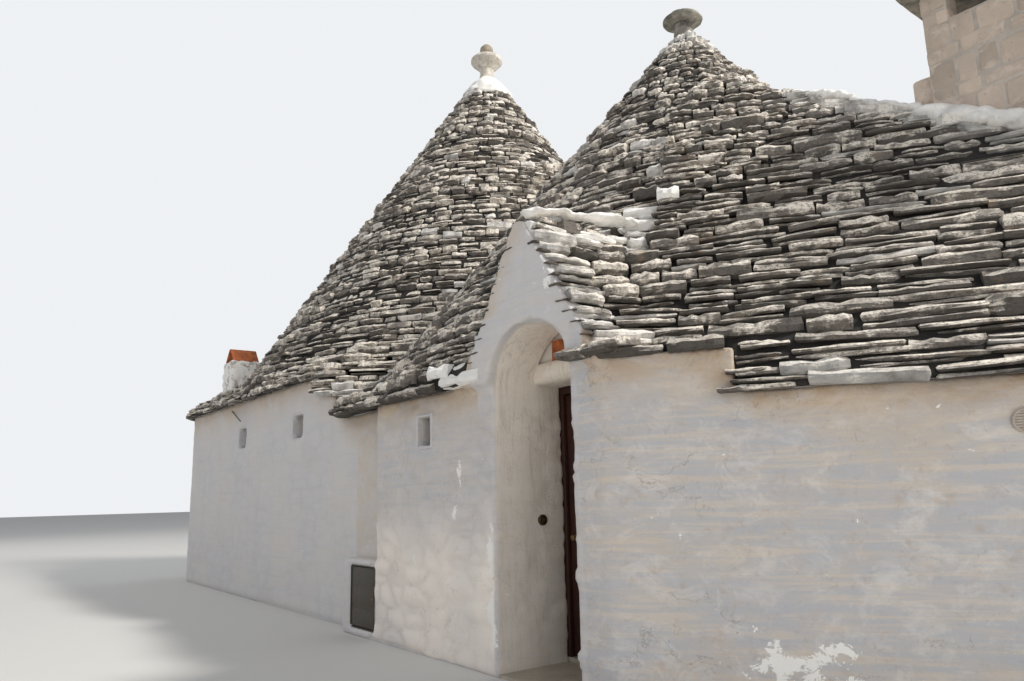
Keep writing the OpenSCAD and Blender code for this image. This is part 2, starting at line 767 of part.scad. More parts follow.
// Small fittings
vent_t = 8;
vent_slot = [vent_d * 0.6, 3 * vent_t, 6];
vent_pitch = 16;
module vent_grille() color("white") difference() {
    vent_hole(vent_d / 2, -vent_t, 0);
    for (i = [-2 : 2])
        translate([wing_at(vent_along, -vent_t)[0], wing_at(vent_along, -vent_t)[1], vent_z + i * vent_pitch])
            rotate([0, 0, bend_a]) translate(-vent_slot / 2) cube(vent_slot);
}
bell_y = 415;
bell_z = 1036;
module bell_push() color("darkgoldenrod") translate([-niche_w / 2, bell_y, bell_z]) rotate([0, 90, 0]) {
    cylinder(h = 8, r = 30);
    cylinder(h = 14, r = 12);
}
// Two plain number tiles above the lintel
tile_x = -215;
tile_size = [95, 8, 150];
module number_tiles() color("peru") for (i = [0, 1])
    translate([tile_x + i * (tile_size[0] + 2), arch_d - tile_size[1], mid_h + lintel_h + 5]) cube(tile_size);
// An iron rod that leaves the wall under the left eave
rod_from = [cx_l - 1010, set_back, left_h - 70];
rod_turn = -9;
rod_fall = 15;
rod_len = 1000;
rod_in = 100;
rod_r = 7;
module eave_rod() color("dimgray") difference() {
    translate(rod_from) rotate([0, 0, rod_turn]) rotate([0, 90 + rod_fall, 0])
        translate([0, 0, -rod_in]) cylinder(h = rod_len, r = rod_r);
    block([-BIG / 2, set_back, 0], [0, BIG / 2, left_h]);
}

left_front_wall();
left_end_wall();
left_back_wall();
cross_wall();
mid_front_wall();
window_bands();
front_wall_tops();
right_jamb();
right_side_wall();
side_way_arch();
right_back_wall();
wing_front_wall();
wing_end_wall();
left_floor();
right_floor();
wing_floor();
threshold();
gable_wall();
lintel();
tympanum();
left_dome();
left_dome_sides();
left_dome_top();
left_cone();
left_skirt();
left_cap();
left_pinnacle();
left_ball();
right_dome();
right_cone();
right_skirt();
right_stem();
right_disc();
gable_roof();
gable_saddle();
wing_roof();
chimney_stack();
chimney_piers();
chimney_cap();
small_chimney();
small_chimney_tiles();
window_frames();
window_panes();
door_frame();
door_hinges();
door_leaf();
door_handle();
meter_block();
meter_box();
meter_door();
vent_grille();
bell_push();
number_tiles();
eave_rod();
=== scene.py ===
# A small trullo house: slab roofs, limewashed walls, entrance, chimneys, fittings and a plain studio stage.
# Metres; X runs along the front to the right, Y goes into the house, Z is up.
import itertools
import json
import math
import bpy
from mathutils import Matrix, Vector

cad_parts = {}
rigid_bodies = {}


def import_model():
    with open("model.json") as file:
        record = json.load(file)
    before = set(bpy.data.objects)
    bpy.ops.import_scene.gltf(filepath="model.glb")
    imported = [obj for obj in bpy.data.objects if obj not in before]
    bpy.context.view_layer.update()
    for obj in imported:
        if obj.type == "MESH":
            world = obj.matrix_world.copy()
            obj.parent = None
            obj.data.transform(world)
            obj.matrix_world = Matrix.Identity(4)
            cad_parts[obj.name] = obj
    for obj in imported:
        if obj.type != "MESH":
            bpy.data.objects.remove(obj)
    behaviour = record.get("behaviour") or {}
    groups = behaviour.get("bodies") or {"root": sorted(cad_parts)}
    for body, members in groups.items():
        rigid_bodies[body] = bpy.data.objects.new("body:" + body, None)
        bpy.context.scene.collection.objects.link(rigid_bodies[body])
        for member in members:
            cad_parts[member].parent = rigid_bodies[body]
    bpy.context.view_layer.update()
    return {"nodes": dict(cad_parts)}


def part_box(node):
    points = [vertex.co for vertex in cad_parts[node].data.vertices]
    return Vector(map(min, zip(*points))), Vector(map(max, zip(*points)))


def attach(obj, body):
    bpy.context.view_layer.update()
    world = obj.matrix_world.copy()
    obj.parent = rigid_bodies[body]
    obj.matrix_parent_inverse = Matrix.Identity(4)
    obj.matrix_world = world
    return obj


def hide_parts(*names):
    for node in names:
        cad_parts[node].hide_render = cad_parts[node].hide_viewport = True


bl_info = {
    "name": "Trullo house",
    "version": (1, 0, 0),
    "blender": (4, 5, 0),
    "location": "3D View > Sidebar > Trullo",
    "description": "Builds the looks of a dry-stone trullo house on its fixed frame",
    "category": "Object",
}

import bmesh
import bpy
import numpy as np
from mathutils import Matrix, Vector

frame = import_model()
NODES = frame["nodes"]


def corners(node):
    """Lowest and highest corner of a CAD node, as tuples."""
    low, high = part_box(node)
    return tuple(low), tuple(high)


# Sizes that repeat those of the construction
LEFT_TOP = corners("left_end_wall")[1][2]
MID_TOP = corners("right_back_wall")[1][2]
WING_TOP = corners("wing_front_wall")[1][2]
SET_BACK = corners("left_front_wall")[0][1]
LEFT_CENTRE = (-6.14, 4.03)
RIGHT_CENTRE = (-1.27, 3.46)
LEFT_CONE = (4.0, 6.09)
RIGHT_CONE = (3.68, 4.57)
BEND = math.radians(32.7)
BEND_X = 0.71
WING_U = np.array([math.cos(BEND), math.sin(BEND)])
WING_N = np.array([-math.sin(BEND), math.cos(BEND)])
WING_LEN, WING_DEPTH, WING_RISE = 4.2, 3.3, 1.13
OVERHANG = 0.12
SKIRT_SLOPE, SKIRT_RISE = 0.62, 0.9
EAVE_ROUND, CORNER_ROUND = 1.32, 1.2
LEFT_EAVE_X, LEFT_BACK_EAVE_Y = -10.14, 8.03
RIGHT_EAVE_X, RIGHT_BACK_EAVE_Y = 2.31, 7.04
# Faces of the outer walls, and where their rounded corners begin
LEFT_FACE_X, LEFT_BACK_Y = -10.02, 7.91
RIGHT_FACE_X, RIGHT_BACK_Y = 2.19, 6.92
INNER_END_X, MID_LEFT_X = -3.27, -2.26
LEFT_CORNER_X, RIGHT_CORNER_X = -8.82, 0.99
LEFT_CORNER_YS, RIGHT_CORNER_Y = (1.35, 6.71), 5.72
SADDLE_Y = 2.9
NICHE = 0.447
NICHE_DEEP = 0.626
ARCH_RISE = 0.37
GABLE_FRONT = -0.045
GABLE_BACK_Y = 1.7
# The last x at which the eave of the right wall keeps to the top of the middle wall
STEP_END_X = 1.38
LEFT_WINDOWS, LEFT_WINDOW_Z = ((-6.74, -6.43), (-4.755, -4.445)), (1.92, 2.19)
MID_WINDOW_X, MID_WINDOW_Z = (-1.5125, -1.3075), (1.6325, 1.8675)
# From the first x the eave of the left room falls to the middle eave at the second
HIGH_END_X, LOW_END_X = -4.06, -3.2
# How many different slabs and blocks are made
SLAB_KINDS, BLOCK_KINDS = 14, 8
# Plan grids (x from, to, y from, to, step) and tops of the courses of both roofs
LEFT_GRID, LEFT_COURSES_TOP = (-10.4, -1.9, -0.2, 8.3, 0.05), 8.06
RIGHT_GRID, RIGHT_COURSES_TOP = (-5.1, 4.9, -0.3, 7.4, 0.04), 6.50
# Height of the courses where the eaves fall in steps
STEP_COURSE = 0.085


def inward_of(x, y):
    """How far a plan point lies behind the front face of the wing."""
    return (x - BEND_X) * WING_N[0] + y * WING_N[1]


def along_of(x, y):
    """How far a plan point lies along the wing."""
    return (x - BEND_X) * WING_U[0] + y * WING_U[1]


def wing_at(along, inward):
    """A plan point of the wing."""
    p = np.array([BEND_X, 0.0]) + along * WING_U + inward * WING_N
    return float(p[0]), float(p[1])


# ---------------------------------------------------------------- settings


def length_setting(name, text, default):
    return bpy.props.FloatProperty(name=name, description=text, default=default, unit="LENGTH")


def colour_setting(name, text, default):
    return bpy.props.FloatVectorProperty(name=name, description=text, default=default, subtype="COLOR")


def angle_setting(name, text, degrees):
    return bpy.props.FloatProperty(name=name, description=text, default=math.radians(degrees), subtype="ANGLE")


class TrulloRoofSettings(bpy.types.PropertyGroup):
    """Courses and slabs of the roofs."""

    course_left: length_setting("Left course", "Height of a course on the tall cone", 0.098)
    course_right: length_setting("Right course", "Height of a course on the lower cone and the wing", 0.098)
    depth: length_setting("Slab depth", "How far a slab reaches into the roof", 0.26)
    wave: length_setting("Wave", "How far the courses wander up and down", 0.03)
    grey: colour_setting("Slab grey", "Main colour of the slabs", (0.205, 0.183, 0.160))
    # the cream also paints the highlight on the upper faces of the slabs
    cream: colour_setting("Slab cream", "Worn and limed faces of the slabs", (0.98, 0.90, 0.79))
    seed: bpy.props.IntProperty(name="Seed", description="Start of the random lengths and tones", default=7)


class TrulloWallSettings(bpy.types.PropertyGroup):
    """Limewashed walls."""

    proud: length_setting("Coat", "How far the coat stands in front of the wall", 0.02)
    cell: length_setting("Mesh size", "Mesh size of the front coat", 0.024)
    bulge: length_setting("Bulge", "How far the stones bulge under the coat", 0.013)
    white: colour_setting("Limewash", "Main colour of the walls", (0.755, 0.74, 0.735))
    flake: colour_setting("Flake", "Fresh and flaked limewash", (1.0, 0.98, 0.94))
    tan: colour_setting("Stain", "Stains under the eaves and in the niche", (0.66, 0.545, 0.42))


class TrulloStoneSettings(bpy.types.PropertyGroup):
    """Chimneys and pinnacles."""

    course: length_setting("Stone course", "Height of a course of the large chimney", 0.19)
    tan: colour_setting("Chimney stone", "Colour of the chimney stones", (0.60, 0.50, 0.415))
    mortar: colour_setting("Mortar", "Colour of the mortar", (0.66, 0.59, 0.52))
    terracotta: colour_setting("Terracotta", "Colour of the fired tiles", (0.52, 0.155, 0.055))


class TrulloDoorSettings(bpy.types.PropertyGroup):
    """Doors and fittings."""

    planks: bpy.props.IntProperty(name="Planks", description="Number of planks of the entrance door", default=6)
    wood: colour_setting("Door wood", "Colour of the entrance door", (0.050, 0.014, 0.009))
    metal: colour_setting("Cabinet", "Paint of the meter cabinet", (0.078, 0.072, 0.056))


class TrulloStageSettings(bpy.types.PropertyGroup):
    """Camera, floor and light."""

    eye: bpy.props.FloatVectorProperty(
        name="Eye", description="Place of the camera", default=(4.179, -3.289, 1.234), subtype="TRANSLATION"
    )
    yaw: angle_setting("Yaw", "Turn of the camera to the left", 53.112)
    tilt: angle_setting("Tilt", "Upward tilt of the camera", 11.13)
    roll: angle_setting("Roll", "Roll of the camera", 1.287)
    lens: bpy.props.FloatProperty(
        name="Lens", description="Focal length on a 36 mm wide sensor, in millimetres", default=27.32
    )
    floor: colour_setting("Floor", "Colour of the floor", (0.70, 0.69, 0.665))


# ---------------------------------------------------------------- numbers


HASH_PRIMES = (374761393, 668265263, 2147483647, 1274126177)
HASH_BITS = 0xFFFFFFFF
HASH_LOW_BITS = 0xFFFFFF


def hashed(ix, iy, iz, seed):
    """A fixed random number from 0 to 1 for each lattice point."""
    a, b, c, d = HASH_PRIMES
    h = (ix.astype(np.int64) * a + iy.astype(np.int64) * b + iz.astype(np.int64) * c + seed * d) & HASH_BITS
    h = ((h ^ (h >> 13)) * d) & HASH_BITS
    h = ((h ^ (h >> 16)) * b) & HASH_BITS
    return ((h ^ (h >> 15)) & HASH_LOW_BITS) / float(HASH_LOW_BITS)


def noise(p, size, seed=0):
    """Smooth noise from -1 to 1 at points p, with features of a size in metres (a number or one for each axis)."""
    q = np.asarray(p, float) / np.asarray(size, float)
    i = np.floor(q).astype(np.int64)
    f = q - i
    f = f * f * (3 - 2 * f)
    out = np.zeros(len(q))
    for step in itertools.product((0, 1), repeat=3):
        x, y, z = (f[:, k] if step[k] else 1 - f[:, k] for k in range(3))
        out += x * y * z * hashed(*(i + np.array(step)).T, seed)
    return out * 2 - 1


def rough(p, size, seed=0, octaves=3):
    """Noise with finer noise on it."""
    size = np.asarray(size, float)
    return sum(noise(p, size / 2**k, seed + 17 * k) / 2**k for k in range(octaves))


def stones(p, size, seed=0):
    """Distance from the joints between irregular stones, from 0 at a joint to about 1 in the middle of one."""
    q = np.asarray(p, float) / np.asarray(size, float)
    i = np.floor(q).astype(np.int64)
    near = np.full(len(q), 9.0)
    second = np.full(len(q), 9.0)
    for step in itertools.product((-1, 0, 1), repeat=3):
        c = i + np.array(step)
        jitter = np.stack([hashed(*c.T, seed + k) for k in (1, 2, 3)], 1)
        d = np.linalg.norm(c + 0.15 + 0.7 * jitter - q, axis=1)
        second = np.minimum(second, np.maximum(near, d))
        near = np.minimum(near, d)
    return np.clip((second - near) * 2.2, 0, 1)


# ---------------------------------------------------------------- meshes


def new_mesh(name, verts, faces):
    """An object with this mesh, linked to the scene."""
    mesh = bpy.data.meshes.new(name)
    mesh.from_pydata([tuple(map(float, v)) for v in verts], [], [tuple(map(int, f)) for f in faces])
    mesh.validate()
    obj = bpy.data.objects.new(name, mesh)
    bpy.context.scene.collection.objects.link(obj)
    return obj


def joined(parts):
    """Several (verts, faces) as one."""
    verts, faces = [], []
    for v, f in parts:
        faces += [[k + len(verts) for k in face] for face in f]
        verts += list(v)
    return verts, faces


def prism(outline, z0, z1):
    """A closed prism on a plan outline that runs anticlockwise."""
    n = len(outline)
    verts = [(x, y, z0) for x, y in outline] + [(x, y, z1) for x, y in outline]
    faces = [list(range(n))[::-1], list(range(n, 2 * n))]
    faces += [[i, (i + 1) % n, n + (i + 1) % n, n + i] for i in range(n)]
    return verts, faces


def upright(outline, y0, y1):
    """A closed prism on an outline in X and Z that runs anticlockwise seen from the front."""
    n = len(outline)
    verts = [(x, y0, z) for x, z in outline] + [(x, y1, z) for x, z in outline]
    faces = [list(range(n)), list(range(n, 2 * n))[::-1]]
    faces += [[i, n + i, n + (i + 1) % n, (i + 1) % n] for i in range(n)]
    return verts, faces


def brick(low, high):
    """A closed box between two corners."""
    (x0, y0, z0), (x1, y1, z1) = low, high
    return prism([(x0, y0), (x1, y0), (x1, y1), (x0, y1)], z0, z1)


def panel(a, b, thick, z0, z1, holes=()):
    """A wall coat with its outer face from plan point a to b, outside on the right, and holes (from, to, low, high)."""
    a, b = np.array(a, float), np.array(b, float)
    length = np.linalg.norm(b - a)
    u = (b - a) / length
    n = np.array([-u[1], u[0]])

    def piece(s0, s1, low, high):
        corner = [a + u * s0, a + u * s1, a + u * s1 + n * thick, a + u * s0 + n * thick]
        return prism([tuple(c) for c in corner], low, high)

    parts, s = [], 0.0
    for s0, s1, low, high in sorted(holes):
        parts.append(piece(s, s0, z0, z1))
        parts.append(piece(s0 - 0.01, s1 + 0.01, z0, low))
        parts.append(piece(s0 - 0.01, s1 + 0.01, high, z1))
        s = s1
    parts.append(piece(s, length, z0, z1))
    return joined(parts)


def finished(obj, smooth=True, angle=None):
    """The object with its modifiers made part of its mesh."""
    deps = bpy.context.evaluated_depsgraph_get()
    mesh = bpy.data.meshes.new_from_object(obj.evaluated_get(deps), depsgraph=deps)
    mesh.name = obj.name
    obj.modifiers.clear()
    obj.data = mesh
    shade(obj, smooth, angle)
    return obj


def shade(obj, smooth=True, angle=None):
    """Smooth or flat shading, smooth only below an angle where one is given."""
    if smooth and angle:
        obj.data.shade_smooth()
        obj.data.set_sharp_from_angle(angle=math.radians(angle))
    elif smooth:
        obj.data.shade_smooth()
    else:
        obj.data.shade_flat()


def remesh(obj, cell, smooth):
    """One closed skin round everything in the object, with soft edges."""
    m = obj.modifiers.new("skin", "REMESH")
    m.mode = "VOXEL"
    m.voxel_size = cell
    if smooth:
        obj.modifiers.new("soft", "SMOOTH").iterations = smooth
    return finished(obj)


def points_of(obj):
    co = np.zeros(len(obj.data.vertices) * 3)
    obj.data.vertices.foreach_get("co", co)
    return co.reshape(-1, 3)


def normals_of(obj):
    no = np.zeros(len(obj.data.vertices) * 3, np.float32)
    obj.data.vertex_normals.foreach_get("vector", no)
    return no.reshape(-1, 3).astype(float)


def set_points(obj, co):
    """Moves the vertices of an object to new places."""
    obj.data.vertices.foreach_set("co", co.ravel())


def push(obj, amount):
    """Moves each vertex along its normal by amount(points, normals)."""
    co, no = points_of(obj), normals_of(obj)
    set_points(obj, co + no * amount(co, no)[:, None])
    obj.data.update()
    return obj


def store_floats(obj, layers):
    """Writes float attributes on the points of an object."""
    for key, values in layers.items():
        layer = obj.data.attributes.new(key, "FLOAT", "POINT")
        layer.data.foreach_set("value", np.asarray(values).astype(np.float32))


def bevelled(obj, width, segments=2):
    """The object with its edges rounded."""
    b = obj.modifiers.new("soft", "BEVEL")
    b.width, b.segments = width, segments
    return finished(obj, True, 40)


def reworked(obj, work):
    """The object after work(bm) on its mesh."""
    bm = bmesh.new()
    bm.from_mesh(obj.data)
    work(bm)
    bm.to_mesh(obj.data)
    bm.free()
    return obj


def small_faces(bm):
    """Faces of more than four corners cut into triangles, and all turned outward."""
    bmesh.ops.triangulate(bm, faces=[f for f in bm.faces if len(f.verts) > 4])
    bmesh.ops.recalc_face_normals(bm, faces=bm.faces)


def outward(obj):
    """Doubles merged and faces turned outward."""

    def work(bm):
        bmesh.ops.remove_doubles(bm, verts=bm.verts, dist=1e-5)
        bmesh.ops.recalc_face_normals(bm, faces=bm.faces)

    return reworked(obj, work)


def turned(obj, matrix, angle=40):
    """A turned piece put in its place by a matrix."""
    obj.data.transform(matrix)
    outward(obj)
    shade(obj, True, angle)
    return obj


def facing_front(x, y, z):
    """The matrix that lays a turned piece with its axis along Y."""
    return Matrix(((1, 0, 0, x), (0, 0, -1, y), (0, 1, 0, z), (0, 0, 0, 1)))


def copy_of(node, name):
    """A merged copy of a CAD node's mesh under a new name."""
    obj = bpy.data.objects.new(name, NODES[node].data.copy())
    obj.data.name = name
    bpy.context.scene.collection.objects.link(obj)
    obj.data.materials.clear()
    return outward(obj)


def place(obj, material, slot, body="house", nodes=()):
    """Gives a piece its material and its body, and hides the CAD nodes that it stands for; the slot is not used."""
    obj.data.materials.clear()
    obj.data.materials.append(material)
    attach(obj, body)
    if nodes:
        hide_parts(*nodes)
    return obj


def dress(material, *names):
    """Gives CAD nodes that are shown as they are a material."""
    for name in names:
        NODES[name].data.materials.clear()
        NODES[name].data.materials.append(material)


def arc_points(centre, radius, angles):
    """Plan points on a circle."""
    return [(centre[0] + radius * math.cos(a), centre[1] + radius * math.sin(a)) for a in angles]


def lathe(name, profile, centre, turns=48):
    """A closed turned piece round an upright axis; the profile starts and ends on the axis."""
    verts, faces = [], []
    ring = [p for p in profile if p[0] > 1e-6]
    for r, z in ring:
        verts += [(x, y, z) for x, y in arc_points(centre, r, [2 * math.pi * k / turns for k in range(turns)])]
    for j in range(len(ring) - 1):
        for k in range(turns):
            a, b = j * turns + k, j * turns + (k + 1) % turns
            faces.append([a, b, b + turns, a + turns])
    bottom, top = len(verts), len(verts) + 1
    verts += [(centre[0], centre[1], profile[0][1]), (centre[0], centre[1], profile[-1][1])]
    for k in range(turns):
        faces.append([bottom, (k + 1) % turns, k])
        last = (len(ring) - 1) * turns
        faces.append([top, last + k, last + (k + 1) % turns])
    return new_mesh(name, verts, faces)


# ---------------------------------------------------------------- materials


def rgba(c):
    return (c[0], c[1], c[2], 1.0)


def new_group(name, inputs, outputs):
    """An empty shader node group with its sockets."""
    g = bpy.data.node_groups.new(name, "ShaderNodeTree")
    for label, kind, default in inputs:
        s = g.interface.new_socket(label, in_out="INPUT", socket_type=kind)
        s.default_value = default
    for label, kind in outputs:
        g.interface.new_socket(label, in_out="OUTPUT", socket_type=kind)
    return g, g.nodes.new("NodeGroupInput"), g.nodes.new("NodeGroupOutput")


def feed(tree, node, **values):
    """Links sockets to the inputs of a node, or sets their values; _ in a name stands for a space."""
    for key, value in values.items():
        socket = node.inputs[key.replace("_", " ")]
        if isinstance(value, bpy.types.NodeSocket):
            tree.links.new(value, socket)
        else:
            socket.default_value = value


def mixed(tree, factor, a, b, blend="MIX"):
    """A colour mix; factor, a and b are sockets or values."""
    m = tree.nodes.new("ShaderNodeMix")
    m.data_type = "RGBA"
    m.blend_type = blend
    for socket, value in ((m.inputs[0], factor), (m.inputs[6], a), (m.inputs[7], b)):
        if isinstance(value, bpy.types.NodeSocket):
            tree.links.new(value, socket)
        else:
            socket.default_value = value if isinstance(value, (int, float)) else rgba(value)
    return m.outputs[2]


def ramp(tree, value, *stops):
    """A grey ramp over a value, from stops (position, grey)."""
    r = tree.nodes.new("ShaderNodeValToRGB")
    tree.links.new(value, r.inputs[0])
    e = r.color_ramp.elements
    while len(e) < len(stops):
        e.new(0.5)
    for element, (at, grey) in zip(e, stops):
        element.position = at
        element.color = (grey, grey, grey, 1)
    return r.outputs[0]


def maths(tree, operation, a, b=0.0, clamp=False):
    m = tree.nodes.new("ShaderNodeMath")
    m.operation = operation
    m.use_clamp = clamp
    for socket, value in zip(m.inputs, (a, b)):
        if isinstance(value, bpy.types.NodeSocket):
            tree.links.new(value, socket)
        else:
            socket.default_value = value
    return m.outputs[0]


def plus(tree, a, b, clamp=False):
    return maths(tree, "ADD", a, b, clamp)


def minus(tree, a, b):
    return maths(tree, "SUBTRACT", a, b)


def times(tree, a, b, clamp=False):
    return maths(tree, "MULTIPLY", a, b, clamp)


def fine_noise(tree, scale, detail, roughness, distortion=0.0, stretch=(1, 1, 1)):
    """Noise over the object's own coordinates, stretched."""
    n = tree.nodes.new("ShaderNodeTexNoise")
    point = object_point(tree, stretch)
    feed(tree, n, Scale=scale, Detail=detail, Roughness=roughness, Distortion=distortion, Vector=point)
    return n.outputs["Fac"]


def object_point(tree, scale=(1, 1, 1)):
    """Object coordinates, stretched."""
    c = tree.nodes.new("ShaderNodeTexCoord")
    return stretched(tree, c.outputs["Object"], scale)


def stretched(tree, point, scale):
    """A point with each axis scaled."""
    m = tree.nodes.new("ShaderNodeMapping")
    feed(tree, m, Scale=scale, Vector=point)
    return m.outputs["Vector"]


def weathering_group():
    """Patches, grain and fine relief of stone and lime at real scale, shared by all the masonry."""
    g = bpy.data.node_groups.get("weathering")
    if g:
        return g
    g, gin, gout = new_group(
        "weathering",
        [
            ("Vector", "NodeSocketVector", (0, 0, 0)),
            ("Patch Scale", "NodeSocketFloat", 2.0),
            ("Grain Scale", "NodeSocketFloat", 40.0),
        ],
        [
            ("Patches", "NodeSocketFloat"),
            ("Streaks", "NodeSocketFloat"),
            ("Grain", "NodeSocketFloat"),
            ("Relief", "NodeSocketFloat"),
        ],
    )
    v = gin.outputs["Vector"]

    def scaled_noise(scale_socket, detail, rough_, stretch=None):
        n = g.nodes.new("ShaderNodeTexNoise")
        point = stretched(g, v, stretch) if stretch else v
        feed(g, n, Detail=detail, Roughness=rough_, Vector=point, Scale=scale_socket)
        return n.outputs["Fac"]

    patches = scaled_noise(gin.outputs["Patch Scale"], 6, 0.62)
    streaks = scaled_noise(gin.outputs["Patch Scale"], 5, 0.6, (4.0, 4.0, 0.5))
    grain = scaled_noise(gin.outputs["Grain Scale"], 4, 0.65)
    relief = plus(g, times(g, grain, 0.35), times(g, scaled_noise(gin.outputs["Patch Scale"], 10, 0.7), 0.65))
    for name, socket in (("Patches", patches), ("Streaks", streaks), ("Grain", grain), ("Relief", relief)):
        g.links.new(socket, gout.inputs[name])
    return g


def made(name):
    """A material that this script has made already, or None."""
    return bpy.data.materials.get("trullo_" + name)


def material(name):
    """An empty material with its shader, and the shader's tree."""
    m = bpy.data.materials.new("trullo_" + name)
    m.use_nodes = True
    tree = m.node_tree
    tree.nodes.clear()
    out = tree.nodes.new("ShaderNodeOutputMaterial")
    shader = tree.nodes.new("ShaderNodeBsdfPrincipled")
    tree.links.new(shader.outputs[0], out.inputs[0])
    return m, tree, shader


def weathered(tree, patch, grain):
    """The shared weathering in a material, with its own scales."""
    n = tree.nodes.new("ShaderNodeGroup")
    n.node_tree = weathering_group()
    feed(tree, n, Patch_Scale=patch, Grain_Scale=grain, Vector=object_point(tree))
    return n.outputs


def bump(tree, shader, height, strength, distance):
    """Fine relief in the shading."""
    b = tree.nodes.new("ShaderNodeBump")
    feed(tree, b, Strength=strength, Distance=distance, Height=height)
    feed(tree, shader, Normal=b.outputs[0])


def attribute(tree, name):
    """A float that is stored on the points of the mesh."""
    a = tree.nodes.new("ShaderNodeAttribute")
    a.attribute_name = name
    return a.outputs["Fac"]


def limewash_material(name, stained=True, warm=0.0):
    """Uneven limewash: cream and cool patches, tan stains from an attribute, white flakes and grey streaks."""
    if made(name):
        return made(name)
    s = bpy.context.scene.trullo_walls
    m, tree, shader = material(name)
    w = weathered(tree, 1.3, 55)
    white = np.array(s.white)
    tan = np.array(s.tan)
    uneven = attribute(tree, "uneven") if stained else 0.5

    def part(mask, share):
        return times(tree, times(tree, mask, share), uneven)

    patches = ramp(tree, w["Patches"], (0.40, 0), (0.60, 1))
    colour = mixed(tree, patches, white * (1.0, 0.98, 0.955), white * (0.955, 0.96, 0.985))
    colour = mixed(tree, uneven, colour, (0.80, 0.80, 0.81), "MULTIPLY")
    # cream and blue-grey horizontal bands: partly cream-tan streaks, partly painted light on the upper sides and
    # painted shade on the lower sides of the ripples
    bands = fine_noise(tree, 1.4, 7, 0.6, 0.6, stretch=(1.1, 1.1, 17.0))
    colour = mixed(tree, part(ramp(tree, bands, (0.50, 0), (0.60, 1)), 0.66), colour, white * (0.975, 0.885, 0.77))
    colour = mixed(tree, part(ramp(tree, bands, (0.39, 1), (0.49, 0)), 0.78), colour, white * (0.73, 0.755, 0.80))
    edge = maths(tree, "ABSOLUTE", minus(tree, bands, 0.515))
    colour = mixed(tree, part(ramp(tree, edge, (0.0, 1), (0.010, 0)), 0.22), colour, tan * 0.9)
    broad = ramp(tree, fine_noise(tree, 1.7, 9, 0.72, stretch=(1, 1, 1.6)), (0.49, 0), (0.63, 1))
    colour = mixed(tree, part(broad, 0.42), colour, tan * 1.05)
    streaks = times(tree, ramp(tree, w["Streaks"], (0.50, 0), (0.66, 1)), 0.16)
    colour = mixed(tree, streaks, colour, white * (0.80, 0.80, 0.81))
    cloud = ramp(tree, fine_noise(tree, 4.5, 9, 0.74, 0.5, stretch=(1, 1, 1.6)), (0.50, 0), (0.66, 1))
    colour = mixed(tree, part(cloud, 0.5), colour, white * (1.15, 1.12, 1.07))
    # warmer, lighter patches for the lintel and the arch fill: partly warm limewash, partly painted bounce light in the
    # shaded niche
    if warm:
        warmer = times(tree, ramp(tree, w["Patches"], (0.3, 0.7), (0.7, 1)), warm)
        colour = mixed(tree, warmer, colour, tan * (1.28, 1.24, 1.18))
    if stained:
        patchy = ramp(tree, fine_noise(tree, 4.2, 9, 0.74, 0.4, stretch=(1, 1, 1.7)), (0.36, 0.3), (0.60, 1))
        broken = times(tree, attribute(tree, "stain"), patchy, True)
        colour = mixed(tree, broken, colour, tan)
        spots = ramp(tree, fine_noise(tree, 7.0, 9, 0.78, 0.3, stretch=(1, 1, 1.4)), (0.56, 0), (0.66, 1))
        runs = ramp(tree, fine_noise(tree, 3.6, 9, 0.72, 0.5, stretch=(1, 1, 2.2)), (0.40, 0.1), (0.60, 1))
        under_eave = times(tree, times(tree, attribute(tree, "eave"), 0.85), runs)
        brown = plus(tree, part(spots, 0.30), under_eave, True)
        colour = mixed(tree, brown, colour, tan * (0.76, 0.62, 0.47))
        # the niche painted lighter and warmer: partly cream limewash, partly painted bounce light in the shaded niche
        niche = attribute(tree, "niche")
        colour = mixed(tree, times(tree, niche, 0.85), colour, (0.95, 0.88, 0.785))
        scratch = fine_noise(tree, 1.6, 8, 0.72, 0.6, stretch=(11, 11, 1.6))
        scratched = times(tree, times(tree, niche, ramp(tree, scratch, (0.50, 0), (0.62, 1))), 0.36)
        colour = mixed(tree, scratched, colour, tan * (0.74, 0.74, 0.74))
        # a lighter, warmer band low on the middle wall: painted bounce light from the ground
        colour = mixed(tree, attribute(tree, "fresh"), colour, white * (1.33, 1.245, 1.14))
        dark = times(tree, attribute(tree, "joint"), ramp(tree, w["Patches"], (0.42, 0.03), (0.62, 0.42)))
        colour = mixed(tree, dark, colour, white * (0.66, 0.60, 0.54))
        line = maths(tree, "ABSOLUTE", minus(tree, fine_noise(tree, 2.3, 5, 0.6, 0.3, stretch=(1, 1, 1.5)), 0.5))
        some = ramp(tree, fine_noise(tree, 1.9, 3, 0.5), (0.50, 0), (0.56, 1))
        crack = times(tree, ramp(tree, line, (0.0, 1), (0.006, 0)), some)
        colour = mixed(tree, part(crack, 0.55), colour, tan * 0.42)
        chips = ramp(tree, fine_noise(tree, 16, 9, 0.78), (0.585, 0), (0.61, 1))
        colour = mixed(tree, part(chips, 0.35), colour, white * (0.62, 0.57, 0.52))
        near_flakes = times(tree, attribute(tree, "flake"), 0.195)
        flakes = ramp(tree, plus(tree, fine_noise(tree, 7.0, 9, 0.74, 0.4), near_flakes), (0.672, 0), (0.687, 1))
        colour = mixed(tree, flakes, colour, s.flake)
    feed(tree, shader, Base_Color=colour, Roughness=plus(tree, times(tree, w["Grain"], 0.16), 0.80))
    bump(tree, shader, w["Relief"], 0.8, 0.02)
    return m


